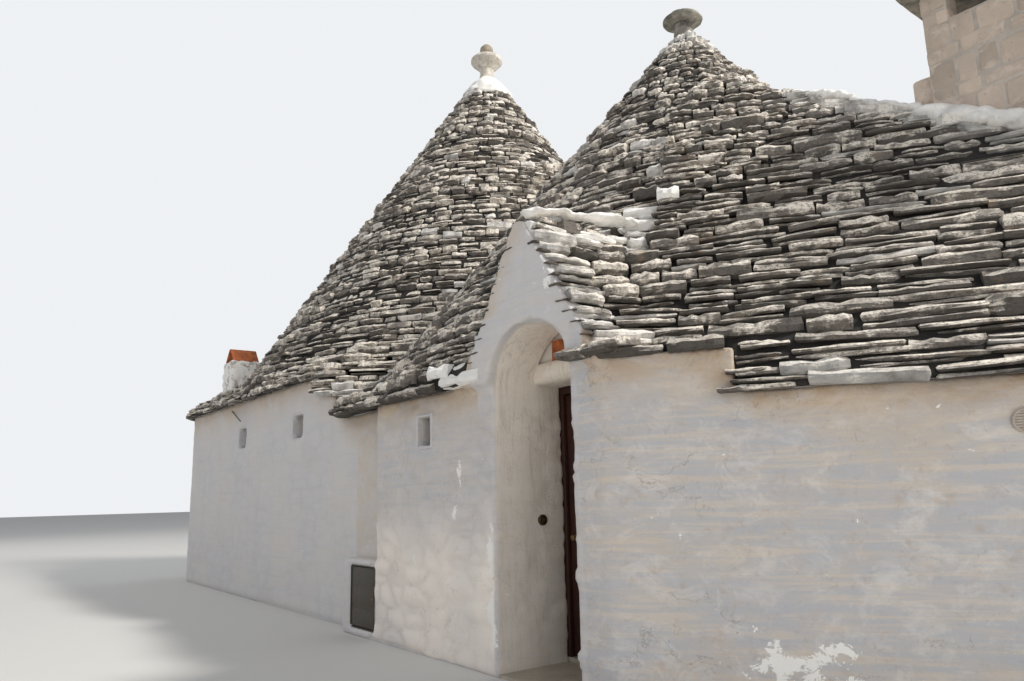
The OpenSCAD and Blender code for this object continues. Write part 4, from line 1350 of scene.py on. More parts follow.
class TrulloRightRoof(bpy.types.Operator):
    """Lays the slabs of the lower cone, the gable and the wing, course by course"""

    bl_idname = "trullo.right_roof"
    bl_label = "Right roof slabs"

    def execute(self, context):
        s = context.scene.trullo_roof
        rng = np.random.default_rng(s.seed + 4)
        xs, ys = plan_grid(*RIGHT_GRID)

        def size_at(x, y, z):
            wing = min(max((x - 0.2) / 2.0, 0), 1) * min(max((4.6 - z) / 1.2, 0.2), 1)
            high = min(max((z - 3.0) / 3.2, 0), 1)
            return 0.17 - 0.06 * high + 0.10 * wing, 0.50 - 0.26 * high + 0.40 * wing

        def keep(x, y, z):
            if -0.76 < x < 0.45 and y < GABLE_FRONT + 0.01:
                return False
            at_crest = abs(x) < 0.10 and y < 0.9 and z > MID_TOP + 1.08
            at_foot = (-1.0 < x < 0.0 or 0.3 < x < 0.56) and y < 0.1 and z < MID_TOP + 0.1
            if at_crest or at_foot:
                return False
            return z > MID_TOP + 0.01 or x > 1.37

        def foot(x, y):
            return np.where((x > STEP_END_X) & (y < 4.9), WING_TOP, MID_TOP)

        def split(x, z):
            return 0.42 if x > -0.9 and z < 4.3 else 0.15

        levels = course_levels(WING_TOP + FIRST_COURSE, MID_TOP - 0.012, STEP_COURSE, rng, 0.92)
        levels += course_levels(MID_TOP + FIRST_COURSE, 4.4, s.course_right, rng, 0.92)
        levels += course_levels(levels[-1][0] + s.course_right, RIGHT_COURSES_TOP, s.course_right, rng, 0.88)
        rows = slab_rows(right_roof, left_roof, xs, ys, levels, size_at, rng, s.wave, keep, foot, split)
        p = rows["place"]
        # the slabs of the gable end flush with its white face
        verge = (np.abs(p[:, 0]) < 0.9) & (p[:, 2] > MID_TOP + 0.03) & (p[:, 1] < 0.8)
        verge &= np.abs(np.sin(rows["turn"])) > 0.7
        front_end = p[:, 1] - rows["size"][:, 0] / 2
        cut = np.where(verge, np.clip(GABLE_FRONT + rng.uniform(-0.02, 0.015, len(p)) - front_end, 0, 0.3), 0)
        rows["size"][:, 0] -= cut
        p[:, 1] += cut / 2

        # the large white slab at the foot of the gable, a smaller one on it, and a thin one that starts the right eave
        extra = np.array([
            (-0.75, -0.10, MID_TOP + 0.02, 0.46, 0.095),
            (-0.87, -0.05, MID_TOP + 0.12, 0.28, 0.075),
            (0.70, -0.085, MID_TOP + 0.028, 0.34, 0.045),
            (0.80, -0.06, MID_TOP + 0.07, 0.30, 0.045),
        ])
        rows = with_extra(rows, extra, 0.0)
        p = rows["place"]

        def lime(p, rng):
            x, y, z = p.T
            crest = (np.abs(x) < 0.34) * (z > MID_TOP + 0.93) * (y < 1.25) * (x > 0.0) * 1.8
            verge = np.clip(1.2 - (y + 0.05) / 0.3, 0, 1) * (x > 0.02) * (x < 0.95) * (z > MID_TOP + 0.05)
            ridge = np.clip(1 - np.abs(y - SADDLE_Y) / 0.3, 0, 1) * (x > 0.3) * (z > 3.5)
            tip = np.clip((z - 6.05) / 0.3, 0, 1) * 0.7
            big = (rng.random(len(p)) < 0.06) * np.where(x > 0.5, 0.38, 0.6)
            left_eave = ((x < -0.50) & (x > -1.05) & (y < 0.1) & (z < MID_TOP + 0.15)) * 1.8
            ends = verge * rng.uniform(0.2, 1.0, len(p))
            return np.clip(np.maximum.reduce([ends, ridge * 0.7, tip, big, left_eave, crest]), 0, 1.8)

        wing = (p[:, 0] > 0.0) & (inward_of(p[:, 0], p[:, 1]) < WING_DEPTH + 0.15)
        front = ~wing & (p[:, 1] < RIGHT_CENTRE[1])
        lay_roof("wing_slabs", piece_of(rows, wing), 21, lime, s.depth * 1.1, 0.08, 0.03, False, 0.36)
        lay_roof("right_slabs_front", piece_of(rows, front), 22, lime, s.depth, 0.09, far=False, mean=0.42)
        lay_roof("right_slabs_back", piece_of(rows, ~wing & ~front), 23, lime, s.depth, 0.09)
        return {"FINISHED"}


# ---------------------------------------------------------------- walls


def wall_stones(co, seed):
    """The stones under the limewash, from 0 at a joint to 1."""
    warped = co + np.stack([noise(co, 0.35, 51), noise(co, 0.35, 52), noise(co, 0.3, 53) * 0.5], 1) * 0.06
    return stones(warped, (0.36, 0.36, 0.165), seed)


def wall_marks(obj):
    """Stain, joint, flake and unevenness of a coat, with the painted bounce light low on the middle wall and the partly
    painted light in the niche, from where it is.
    """
    co = points_of(obj)
    x, y, z = co.T

    def spot(cx, cz, wx, wz):
        return np.exp(-(((x - cx) / wx) ** 2)) * np.exp(-(((z - cz) / wz) ** 4)) * (y < 1.5)

    below = eave_height(co) - z
    clear = np.abs(x) > 0.62
    stain = np.clip(1.15 - below / (0.34 + 0.15 * noise(co, 0.5, 21)), 0, 1) * (0.9 + 0.3 * noise(co, 0.7, 3)) * clear
    eave = np.clip(1.0 - below / (0.20 + 0.09 * noise(co, 0.4, 24)), 0, 1) * clear
    eave = eave * np.where((x < -2.4) & (y < 7), 0.7, 1)
    # painted bounce light from the ground, low on the middle wall
    fresh = np.clip(1.25 - np.abs(z - 0.45) / 0.55 + 0.5 * noise(co, 0.4, 8), 0, 1)
    fresh = fresh * (x > -2.3) * (x < -0.46) * (y < 0.15)
    niche = (np.abs(x) < 0.46) & (y > 0.0)
    stain = np.maximum(stain, niche * np.clip(0.30 + 0.4 * (z - 1.3), 0.25, 0.6))
    side = np.exp(-(((0.75 * (1 - (z - MID_TOP) / 1.12) + x) / 0.11) ** 2))
    side = side * (z > MID_TOP + 0.45) * (x < 0.1) * (y < 0.1)
    stain = np.maximum(stain, side * 0.75)
    # a tan strip in the recess left of the meter block: partly stain, partly painted shade of the recess
    recess = (x > -2.95) * (x < -2.2) * (y > 0.05) * (y < 0.2) * 0.5
    stain = np.maximum(stain, recess)
    corner = spot(-0.49, 0.35, 0.055 + 0.04 * noise(co, 0.2, 40), 0.85) * (y < 0.0) * (0.85 + 0.9 * noise(co, 0.11, 41))
    foot = spot(1.55, 0.25, 0.32, 0.24) * (0.8 + 0.6 * noise(co, 0.10, 43))
    drips = spot(-0.88, 1.35, 0.035, 0.17) + spot(-0.96, 1.1, 0.03, 0.07)
    drips = drips + spot(-1.20, 0.51, 0.035, 0.13) + spot(-1.56, 0.71, 0.03, 0.09)
    verge = (x > 0.25) * (x < 0.75) * (z > MID_TOP + 0.3) * 0.35
    flake = np.maximum.reduce([corner, foot, drips * (y < 0.1) * (0.75 + 0.4 * noise(co, 0.07, 42)), verge])
    joint = 1 - wall_stones(co, 31)
    left, wing = (x < -2.4) & (y < 7), (x > 0.5) & (y < 2.5)
    uneven = np.where(left, 0.20, np.where(wing, 1.0, 0.55)) * np.where((z > MID_TOP + 0.05) & (np.abs(x) < 1), 0.45, 1)
    joint = np.clip(joint, 0, 1) ** 3 * np.where(wing, 0.2, np.where(left, 0.5, 1))
    joint = joint * np.where(niche | (z > MID_TOP), 0.3, 1)
    # the niche mask grows towards the top; it paints the lighter niche (partly limewash, partly painted bounce light)
    # and carries its scratches
    niche = niche * np.clip(0.75 + 0.5 * (z - 1.2), 0.6, 1.0)
    layers = dict(stain=stain, joint=joint, flake=flake, uneven=uneven, eave=eave, fresh=fresh, niche=niche)
    store_floats(obj, {key: np.clip(values, 0, 1.5) for key, values in layers.items()})


def coat_relief(strength, seed=31):
    """Soft stones under many coats, with slow waves."""

    def amount(co, no):
        x, y, z = co.T
        body = wall_stones(co, seed)
        body = body * body * (3 - 2 * body)
        share = np.where(x < -2.4, 0.35, np.where(x > 0.5, 0.35, np.where(x > -0.46, 0.8, 1.3)))
        amplitude = strength * share * (0.7 + 0.5 * noise(co, 0.8, 6))
        ripple = rough(co, (0.75, 0.75, 0.11), 14, 2) * np.where(x > 0.5, 0.0065, 0.002)
        corner = np.exp(-(((x - 0.44) / 0.05) ** 2)) * (y < 0.08) * (z < 2.0)
        jagged = corner * np.maximum(rough(co, (0.5, 0.5, 0.045), 23, 2) - 0.35, 0) * 0.03
        amplitude = amplitude * (1 - 0.8 * corner)
        ripple = ripple * (1 - 0.7 * corner)
        slow = rough(co, (0.5, 0.5, 0.3), 2, 3) * 0.005
        return (body - 0.6) * amplitude + slow + ripple + noise(co, 0.05, 4) * 0.0010 + jagged

    return amount


def coated(name, parts, cell, smooth, bulge, material, nodes=()):
    """A limewashed skin over parts, with its stones and its marks."""
    coat = remesh(new_mesh(name, *joined(parts)), cell, smooth)
    push(coat, bulge)
    wall_marks(coat)
    return place(coat, material, "limewash", nodes=nodes)


def eave_height(co):
    """Height of the eave above each wall point."""
    x = co[:, 0]
    return np.where(x < LOW_END_X, falling_eave(x), np.interp(x, (1.2, 1.5), (MID_TOP + 0.02, WING_TOP)))


class TrulloFrontWalls(bpy.types.Operator):
    """Coats the front walls, the niche and the gable with limewash over rough stones"""

    bl_idname = "trullo.front_walls"
    bl_label = "Front walls"

    def execute(self, context):
        s = context.scene.trullo_walls
        p, t = s.proud, 0.11
        corner = (LEFT_CORNER_X, LEFT_CORNER_YS[0])
        left = [panel((LEFT_FACE_X - p, 2.6), (LEFT_FACE_X - p, corner[1]), t, 0, LEFT_TOP)]
        sweep, r = np.linspace(math.pi, 1.5 * math.pi, 14), CORNER_ROUND + p
        left.append(prism(arc_points(corner, r, sweep) + arc_points(corner, r - t, sweep)[::-1], 0, LEFT_TOP))
        y = SET_BACK - p
        a, high_end = LEFT_CORNER_X - 0.01, HIGH_END_X - 0.01
        holes = [(w0 - a, w1 - a, *LEFT_WINDOW_Z) for w0, w1 in LEFT_WINDOWS]
        left.append(panel((a, y), (HIGH_END_X + 0.01, y), t, 0, LEFT_TOP, holes))
        falling = [(high_end, 0), (-2.2, 0), (-2.2, MID_TOP), (LOW_END_X, MID_TOP), (high_end, LEFT_TOP)]
        left.append(upright(falling, y, y + t))
        limewash = limewash_material("limewash")
        coated("left_wall_coat", left, s.cell * 1.3, 2, coat_relief(s.bulge), limewash)

        a = MID_LEFT_X - p
        right = [panel((a, 0.2), (a, -p), t, 0, MID_TOP)]
        hole = (MID_WINDOW_X[0] - a, MID_WINDOW_X[1] - a, *MID_WINDOW_Z)
        right.append(panel((a, -p), (-NICHE + p, -p), t, 0, MID_TOP, [hole]))
        right.append(panel((-NICHE + p, -p), (-NICHE + p, NICHE_DEEP), t, 0, MID_TOP + 0.02))
        right.append(panel((NICHE - p, NICHE_DEEP), (NICHE - p, -p), t, 0, MID_TOP + 0.02))
        bend = wing_at(0, -p)
        right.append(prism([(NICHE - p, -p), (BEND_X, -p), bend, (BEND_X + 0.05, t), (NICHE - p, t)], 0, MID_TOP))
        split = (STEP_END_X - BEND_X) / WING_U[0]
        right.append(panel(bend, wing_at(split, -p), t, 0, MID_TOP))
        right.append(panel(wing_at(split - 0.01, -p), wing_at(WING_LEN + p, -p), t, 0, WING_TOP))
        right.append(panel(wing_at(WING_LEN + p, -p), wing_at(WING_LEN + p, 0.5), t, 0, WING_TOP))
        # the gable with its round arch, which flares on the right
        half = NICHE - p
        radius = (NICHE**2 + ARCH_RISE**2) / (2 * ARCH_RISE) - p
        centre = MID_TOP + ARCH_RISE - (radius + p)
        sweep = math.acos(min((MID_TOP - centre) / radius, 1))
        arch = [(radius * math.sin(k), centre + radius * math.cos(k)) for k in np.linspace(-sweep, sweep, 22)]
        flare = [(0.10, 2.41), (0.20, 2.385), (0.30, 2.335), (0.385, 2.265), (0.44, 2.18), (0.465, 2.09)]
        flare_x, gable_x, foot_z = 0.467, -0.775, MID_TOP - 0.03
        flared = arch[:11] + flare + [(flare_x, MID_TOP)]
        start = [(gable_x, foot_z), (-half, foot_z)]
        sides = [(0.74, foot_z), (0.74, MID_TOP + 0.01), (0.02, MID_TOP + 1.10), (-0.04, MID_TOP + 1.12)]
        sides.append((gable_x, MID_TOP + 0.01))
        right.append(upright(start + flared + [(flare_x, foot_z)] + sides, -0.075, 0.0))
        right.append(upright(start + arch + [(half, foot_z)] + sides, -0.01, 0.4))
        # the low block round the meter cabinet
        x0, x1, top = -2.95, MID_LEFT_X, 0.65
        right.append(brick((x0, -p, 0), (-2.80, SET_BACK, top + p)))
        right.append(brick((-2.30, -p, 0), (x1 + 0.02, SET_BACK, top + p)))
        right.append(brick((x0, -p, 0.62), (x1, SET_BACK, top + p)))
        right.append(brick((x0, -p, 0), (x1, SET_BACK, 0.058)))
        coated("front_wall_coat", right, s.cell, 2, coat_relief(s.bulge * 1.25), limewash, ("gable_wall",))
        self.verge()
        self.beds()
        return {"FINISHED"}

    def verge(self):
        """The ragged ends of slabs along both slopes of the gable, in a dark stone that is partly their own colour and
        partly painted shade of the gaps under them.
        """
        rng = np.random.default_rng(8)
        at, sizes = [], []
        for side, step, reach in ((-1, 0.10, 0.11), (1, 0.075, 0.20)):
            z = MID_TOP + 0.15
            while z < MID_TOP + 0.98:
                w = 0.04 + reach * rng.beta(1.2, 2.2)
                x = 0.75 * (1 - (z - MID_TOP) / 1.12) - w / 2 + 0.035
                at.append((side * x, -0.086 + rng.uniform(-0.004, 0.004), z))
                sizes.append((w, 0.12, rng.uniform(0.007, 0.017)))
                z += step * rng.uniform(0.5, 1.7)
        # dark brown ends: partly slab stone, partly painted shade of the gaps under the slabs
        stone = stone_material("verge_stone", (0.17, 0.145, 0.12), (0.05, 0.043, 0.037), 9.0, 90, 0.01)
        turns = np.zeros((len(at), 3))
        edges = lay_stones("verge_edges", at, turns, sizes, slab_variants(True), stone, {}, 0.07, 6)
        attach(edges, "house")

    def beds(self):
        """Stone behind the slabs of the gable, the lower skirt and the wing, near black as painted shade in the gaps.
        """
        ridge, foot_z = MID_TOP + 1.13, MID_TOP + 0.01
        slope = [(0.76, foot_z), (0.0, ridge), (-0.76, foot_z), (-0.62, foot_z), (0.0, ridge - 0.2), (0.62, foot_z)]
        bed = remesh(new_mesh("gable_bed", *upright(slope, 0.0, GABLE_BACK_Y)), 0.06, 1)
        push(bed, lambda co, no: rough(co, 0.12, 4) * 0.008)
        place(bed, shaded_slab_bed_material(), "roof_slabs", nodes=("gable_roof",))
        # the lower skirt keeps behind the wall where the left eave falls
        bed = remesh(copy_of("right_skirt", "right_bed"), 0.05, 0)
        co = points_of(bed)
        co[:, 1] = np.where((co[:, 0] < LOW_END_X) & (co[:, 1] < 1.0), np.maximum(co[:, 1], 0.18), co[:, 1])
        set_points(bed, co)
        place(bed, shaded_slab_bed_material(), "roof_slabs", nodes=("right_skirt",))
        # and the roof of the wing where its courses start in steps
        bed = remesh(copy_of("wing_roof", "wing_bed"), 0.075, 0)
        co = points_of(bed)
        x, y, z = co.T
        stepped = (x < 1.42 + 0.5 * (MID_TOP - z)) & (z < MID_TOP + 0.04)
        back = np.where(stepped, np.maximum(0.04 - inward_of(x, y), 0), 0)
        co[:, :2] += back[:, None] * WING_N
        set_points(bed, co)
        place(bed, shaded_slab_bed_material(), "roof_slabs", nodes=("wing_roof",))


class TrulloOuterWalls(bpy.types.Operator):
    """Coats the ends and the back with the same limewash, and finishes the walls, floors and domes inside"""

    bl_idname = "trullo.outer_walls"
    bl_label = "Ends, back and rooms"

    def execute(self, context):
        s = context.scene.trullo_walls
        p, t = s.proud, 0.12
        parts = []

        def wall(a, b, top):
            parts.append(panel(a, b, t, 0, top))

        def arc(c, a0, a1, top):
            angles, r = np.linspace(math.radians(a0), math.radians(a1), 12), CORNER_ROUND + p
            parts.append(prism(arc_points(c, r, angles) + arc_points(c, r - t, angles)[::-1], 0, top))

        left_x, left_y, mid_y, right_x = LEFT_FACE_X - p, LEFT_BACK_Y + p, RIGHT_BACK_Y + p, RIGHT_FACE_X + p
        wall((-3.8, left_y), (LEFT_CORNER_X, left_y), LEFT_TOP)
        arc((LEFT_CORNER_X, LEFT_CORNER_YS[1]), 90, 180, LEFT_TOP)
        wall((left_x, LEFT_CORNER_YS[1]), (left_x, 2.58), LEFT_TOP)
        wall((INNER_END_X + p, RIGHT_BACK_Y), (INNER_END_X + p, left_y), LEFT_TOP)
        wall((-3.26 + p, left_y), (-3.9, left_y), LEFT_TOP)
        wall((RIGHT_CORNER_X, mid_y), (INNER_END_X, mid_y), MID_TOP)
        arc((RIGHT_CORNER_X, RIGHT_CORNER_Y), 0, 90, MID_TOP)
        back_corner = wing_at(0, WING_DEPTH + p)
        meet = (right_x - back_corner[0]) / WING_U[0]
        wall(wing_at(meet - 0.02, WING_DEPTH + p), (right_x, 5.74), MID_TOP)
        wall(wing_at(WING_LEN + p, WING_DEPTH + p), wing_at(meet, WING_DEPTH + p), WING_TOP)
        wall(wing_at(WING_LEN + p, 0.48), wing_at(WING_LEN + p, WING_DEPTH + p), WING_TOP)
        # the pointed end of the wing, above its eaves
        half, low = WING_DEPTH / 2, WING_TOP - 0.02
        tri = [(0.0, low), (WING_DEPTH, low), (half, WING_TOP + half * WING_RISE)]
        verts = [(*wing_at(along, k), z) for along in (WING_LEN + p, WING_LEN - t) for k, z in tri]
        parts.append((verts, [[0, 1, 2], [5, 4, 3], [0, 3, 4, 1], [1, 4, 5, 2], [2, 5, 3, 0]]))
        coated("outer_wall_coat", parts, 0.055, 3, coat_relief(s.bulge), limewash_material("limewash"))
        plain = limewash_material("limewash_inside", stained=False)
        dress(plain, "left_front_wall", "left_end_wall", "left_back_wall", "cross_wall", "mid_front_wall")
        dress(plain, "window_bands", "front_wall_tops", "side_way_arch", "right_jamb", "right_side_wall")
        dress(plain, "right_back_wall")
        dress(plain, "wing_front_wall", "wing_end_wall", "meter_block", "gable_saddle", "left_cap")
        dome = stone_material("dome_stone", (0.42, 0.37, 0.30), (0.22, 0.19, 0.155), 3.0, 50, 0.02)
        dress(dome, "left_dome", "left_dome_sides", "left_dome_top", "right_dome")
        # the cones and the left skirt under their slabs are near black too: painted shade in the gaps
        dress(shaded_slab_bed_material(), "left_cone", "right_cone", "left_skirt")
        floor = stone_material("floor_stone", (0.52, 0.47, 0.39), (0.36, 0.31, 0.25), 1.6, 60, 0.004)
        dress(floor, "left_floor", "right_floor", "wing_floor", "threshold")
        mortar = np.array(context.scene.trullo_stone.mortar)
        dress(stone_material("chimney_core", mortar, mortar * 0.7), "chimney_stack", "chimney_piers")
        return {"FINISHED"}


class TrulloEntrance(bpy.types.Operator):
    """Makes the bulging lintel, the filled arch above it and the two plain tiles"""

    bl_idname = "trullo.entrance"
    bl_label = "Lintel and tiles"

    def execute(self, context):
        (_, y0, z0), (_, y1, z1) = corners("lintel")
        beam = brick((-0.52, y0 - 0.035, z0 - 0.012), (0.56, y1, z1 + 0.01))
        belly = brick((-0.30, y0 - 0.06, z0 + 0.03), (0.50, y0 + 0.05, z1 - 0.02))
        coated("lintel_coat", [beam, belly], 0.018, 14, coat_relief(0.006, 12), warm_limewash(), ("lintel",))
        fill = remesh(copy_of("tympanum", "arch_fill"), 0.024, 2)
        push(fill, lambda co, no: rough(co, 0.3, 5) * 0.004)
        place(fill, warm_limewash(), "limewash", nodes=("tympanum",))
        low, high = corners("number_tiles")
        parts = []
        half = (high[0] - low[0]) / 2
        for k in range(2):
            x = low[0] + k * half
            parts.append(brick((x + 0.002, low[1] - 0.016, low[2]), (x + half - 0.002, high[1] + 0.01, high[2])))
        tiles = new_mesh("number_tile_pair", *joined(parts))
        bevelled(tiles, 0.003)
        push(tiles, lambda co, no: noise(co, 0.03, 3) * 0.0008)
        place(tiles, terracotta_material(), "terracotta", nodes=("number_tiles",))
        return {"FINISHED"}


# ---------------------------------------------------------------- tops and ridges


class TrulloTops(bpy.types.Operator):
    """Makes the limed cap, the pinnacle with its ball, and the stem and disc of the lower cone"""

    bl_idname = "trullo.tops"
    bl_label = "Tops of the cones"

    def execute(self, context):
        low, high = corners("left_cap")
        foot, top = low[2], high[2]
        profile = [(0, foot - 0.22), (0.46, foot - 0.22), (0.43, foot - 0.10), (0.35, foot + 0.01), (0.25, foot + 0.13)]
        cap = lathe("limed_cap", profile + [(0.15, top + 0.01), (0, top + 0.01)], LEFT_CENTRE)
        remesh(cap, 0.022, 2)
        push(cap, lambda co, no: rough(co, 0.14, 3) * 0.016 * (1 - 0.5 * (co[:, 2] > top - 0.05)))
        place(cap, lime_mortar(), "limewash", nodes=("left_cap",))
        for name, node_name, slot, seed in (
            ("pinnacle_stem", "left_pinnacle", "pinnacle_stone", 4),
            ("pinnacle_ball", "left_ball", "pinnacle_stone", 5),
            ("cone_stem", "right_stem", "roof_slabs", 6),
            ("cone_disc", "right_disc", "roof_slabs", 7),
        ):
            obj = remesh(copy_of(node_name, name), 0.012, 3)
            push(obj, lambda co, no, seed=seed: rough(co, 0.09, seed, 3) * 0.006)
            if node_name == "left_pinnacle":
                co = points_of(obj)
                for k in (0, 1):
                    co[:, k] = LEFT_CENTRE[k] + (co[:, k] - LEFT_CENTRE[k]) * 1.06
                set_points(obj, co)
            pale = (0.80, 0.74, 0.65) if node_name == "left_pinnacle" else (0.44, 0.38, 0.30)
            if slot == "pinnacle_stone":
                mat = stone_material(name + "_stone", pale, np.array(pale) * 0.55, 9.0, 90, 0.008)
            else:
                mat = disc_stone()
            place(obj, mat, slot, nodes=(node_name,))
        return {"FINISHED"}


def lump(c, w, h, n=8, ring=4):
    """A closed rounded lump about a point, of half width w and half height h."""
    verts, faces = [], []
    for j in range(1, ring):
        v = math.pi * j / ring
        for m in range(n):
            u = 2 * math.pi * m / n
            x, y = w * math.sin(v) * math.cos(u), w * math.sin(v) * math.sin(u)
            verts.append((c[0] + x, c[1] + y, c[2] + h * math.cos(v)))
    for j in range(ring - 2):
        for m in range(n):
            faces.append([(j + 1) * n + m, (j + 1) * n + (m + 1) % n, j * n + (m + 1) % n, j * n + m])
    top, bottom = len(verts), len(verts) + 1
    verts += [(c[0], c[1], c[2] + h), (c[0], c[1], c[2] - h)]
    for m in range(n):
        faces.append([top, m, (m + 1) % n])
        faces.append([bottom, (ring - 2) * n + (m + 1) % n, (ring - 2) * n + m])
    return verts, faces


def lumpy_band(name, path, widths, heights, cell, seed):
    """A lumpy mortar band along a path of points, as a remeshed row of rounded lumps."""
    parts = []
    rng = np.random.default_rng(seed)
    for k in range(len(path) - 1):
        a, b = np.array(path[k], float), np.array(path[k + 1], float)
        steps = max(2, int(np.linalg.norm(b - a) / 0.05))
        for i in range(steps):
            f = i / steps
            c = a + (b - a) * f + rng.uniform(-0.012, 0.012, 3)
            w = (widths[k] * (1 - f) + widths[k + 1] * f) * rng.uniform(0.8, 1.15)
            h = (heights[k] * (1 - f) + heights[k + 1] * f) * rng.uniform(0.8, 1.2)
            parts.append(lump(c, w, h))
    obj = new_mesh(name, *joined(parts))
    remesh(obj, cell, 2)
    push(obj, lambda co, no: rough(co, (0.14, 0.14, 0.06), seed, 4) * 0.019)
    return obj


class TrulloLime(bpy.types.Operator):
    """Lays the lumpy lime on the ridge beside the cone, at the chimney foot and on the gable"""

    bl_idname = "trullo.lime"
    bl_label = "Lime on the ridges"

    def execute(self, context):
        mat = lime_mortar()
        ridge = []
        for x in np.linspace(0.35, 2.3, 12):
            z = roof_at(x, SADDLE_Y)
            ridge.append((x, 2.88 + 0.04 * math.sin(5 * x), z + 0.02 + 0.01 * math.sin(9 * x)))
        widths = [0.07 + 0.04 * math.sin(4.3 * k) for k in range(12)]
        obj = lumpy_band("ridge_lime", ridge, widths, [0.020 + 0.011 * math.sin(2.9 * k) for k in range(12)], 0.016, 3)
        place(obj, mat, "limewash")
        crest = ((0.03, -0.03, 1.155), (0.05, 0.15, 1.175), (0.07, 0.4, 1.20), (0.09, 0.7, 1.225), (0.12, 1.0, 1.24))
        gable = [(x, y, MID_TOP + up) for x, y, up in crest]
        widths, heights = [0.07, 0.10, 0.09, 0.11, 0.06], [0.018, 0.026, 0.022, 0.026, 0.018]
        obj = lumpy_band("gable_lime", gable, widths, heights, 0.016, 5)
        place(obj, mat, "limewash", nodes=("gable_saddle",))
        (x0, y0, _), (x1, y1, _) = corners("chimney_stack")
        foot = []
        for x, y in ((x0 - 0.03, y1), (x0 - 0.03, y0 - 0.02), ((x0 + x1) / 2, y0 - 0.03), (x1 + 0.02, y0 - 0.02)):
            foot.append((x, y, roof_at(x, y) + 0.03))
        obj = lumpy_band("chimney_lime", foot, [0.16] * 4, [0.06] * 4, 0.024, 8)
        place(obj, mat, "limewash")
        return {"FINISHED"}


# ---------------------------------------------------------------- chimneys


def block_variant(name, rng):
    """A rough squared stone, 1 long, 1 deep, 1 high, with its front edges chipped."""
    verts, faces = [], []
    for j, z in enumerate((0.0, 0.12, 0.88, 1.0)):
        edge = 0.05 if j in (0, 3) else 0.0
        for x, y in ((-0.5, 1.0), (-0.5, 0.10), (-0.44, 0.02), (0.0, -0.02), (0.44, 0.02), (0.5, 0.10), (0.5, 1.0)):
            front = 1.0 if y < 0.5 else 0.0
            vx = x * (1 - edge * 0.6) + rng.uniform(-0.012, 0.012)
            vy = y + edge * front * 1.6 + rng.uniform(-0.03, 0.03) * front
            verts.append((vx, vy, z + rng.uniform(-0.025, 0.025)))
    n = 7
    faces.append(list(range(n)))
    faces.append(list(range(3 * n, 4 * n))[::-1])
    for j in range(3):
        faces += [[j * n + i, (j + 1) * n + i, (j + 1) * n + (i + 1) % n, j * n + (i + 1) % n] for i in range(n)]

    def work(bm):
        bmesh.ops.subdivide_edges(bm, edges=bm.edges, cuts=1, use_grid_fill=True)
        small_faces(bm)
        for v in bm.verts:
            v.co += Vector((rng.uniform(-0.006, 0.006), rng.uniform(-0.012, 0.012), rng.uniform(-0.012, 0.012)))

    obj = reworked(new_mesh(name, verts, faces), work)
    obj.data.shade_smooth()
    return obj


def block_wall(box, course, rng, z0, z1, proud=0.008, depth=0.10):
    """Points of squared stones round a shaft, course by course."""
    (x0, y0), (x1, y1) = box
    corners_ = [(x0, y0), (x1, y0), (x1, y1), (x0, y1)]
    place_, turn, size, tone = [], [], [], []
    z = z0
    while z < z1 - 0.03:
        h = min(course * rng.uniform(0.6, 1.35), z1 - z)
        if z1 - z - h < 0.05:
            h = z1 - z
        for k in range(4):
            a, b = np.array(corners_[k]), np.array(corners_[(k + 1) % 4])
            length = np.linalg.norm(b - a)
            u = (b - a) / length
            out = np.array([u[1], -u[0]])
            s = -proud
            while s < length + proud - 0.01:
                w = min(rng.uniform(0.14, 0.52), length + proud - s)
                if length + proud - s - w < 0.10:
                    w = length + proud - s
                c = a + u * (s + w / 2) + out * proud
                place_.append((c[0], c[1], z + rng.uniform(-0.012, 0.012)))
                turn.append((0, 0, math.atan2(u[1], u[0])))
                size.append((w - rng.uniform(0.0, 0.03), depth * rng.uniform(0.9, 1.1), h - rng.uniform(0.0, 0.03)))
                tone.append(rng.random())
                s += w
        z += h
    return np.array(place_), np.array(turn), np.array(size), np.array(tone)


class TrulloLargeChimney(bpy.types.Operator):
    """Builds the large chimney of tan stones, its piers and its cap slab"""

    bl_idname = "trullo.large_chimney"
    bl_label = "Large chimney"

    def execute(self, context):
        s = context.scene.trullo_stone
        rng = np.random.default_rng(5)
        (x0, y0, z0), (x1, y1, z1) = corners("chimney_stack")
        tan = np.array(s.tan)
        patches = (0.62, 0.36, 0.20)
        mat = stone_material("chimney_stone", tan * 1.22, tan * 0.76, 3.4, 60, 0.02, tone=True, patches=patches)
        variants = variant_collection("block", BLOCK_KINDS, block_variant, 9)
        sets = [block_wall(((x0, y0), (x1, y1)), s.course, rng, z0, z1 + 0.01)]
        (a0, b0, c0), (a1, b1, c1) = corners("chimney_piers")
        w = 0.19
        for x, y in ((a0, b0), (a1 - w, b0), (a0, b1 - w), (a1 - w, b1 - w)):
            sets.append(block_wall(((x, y), (x + w, y + w)), 0.15, rng, c0, c1, 0.008, 0.08))
        place_, turn, size, tone = (np.concatenate([q[k] for q in sets]) for k in range(4))
        # a stone that sticks out on the left
        place_ = np.vstack([place_, [(x0 - 0.09, y0 + 0.05, z1 - 0.62)]])
        turn = np.vstack([turn, [(0, 0, 0)]])
        size = np.vstack([size, [(0.16, 0.22, 0.24)]])
        tone = np.append(tone, 0.8)
        obj = lay_stones("chimney_stones", place_, turn, size, variants, mat, {"tone": tone}, 0.03, 4)
        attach(obj, "house")
        cap = remesh(copy_of("chimney_cap", "chimney_cap_slab"), 0.03, 2)
        push(cap, lambda co, no: rough(co, (0.35, 0.35, 0.08), 6) * 0.012)
        place(cap, disc_stone(), "roof_slabs", nodes=("chimney_cap",))
        return {"FINISHED"}


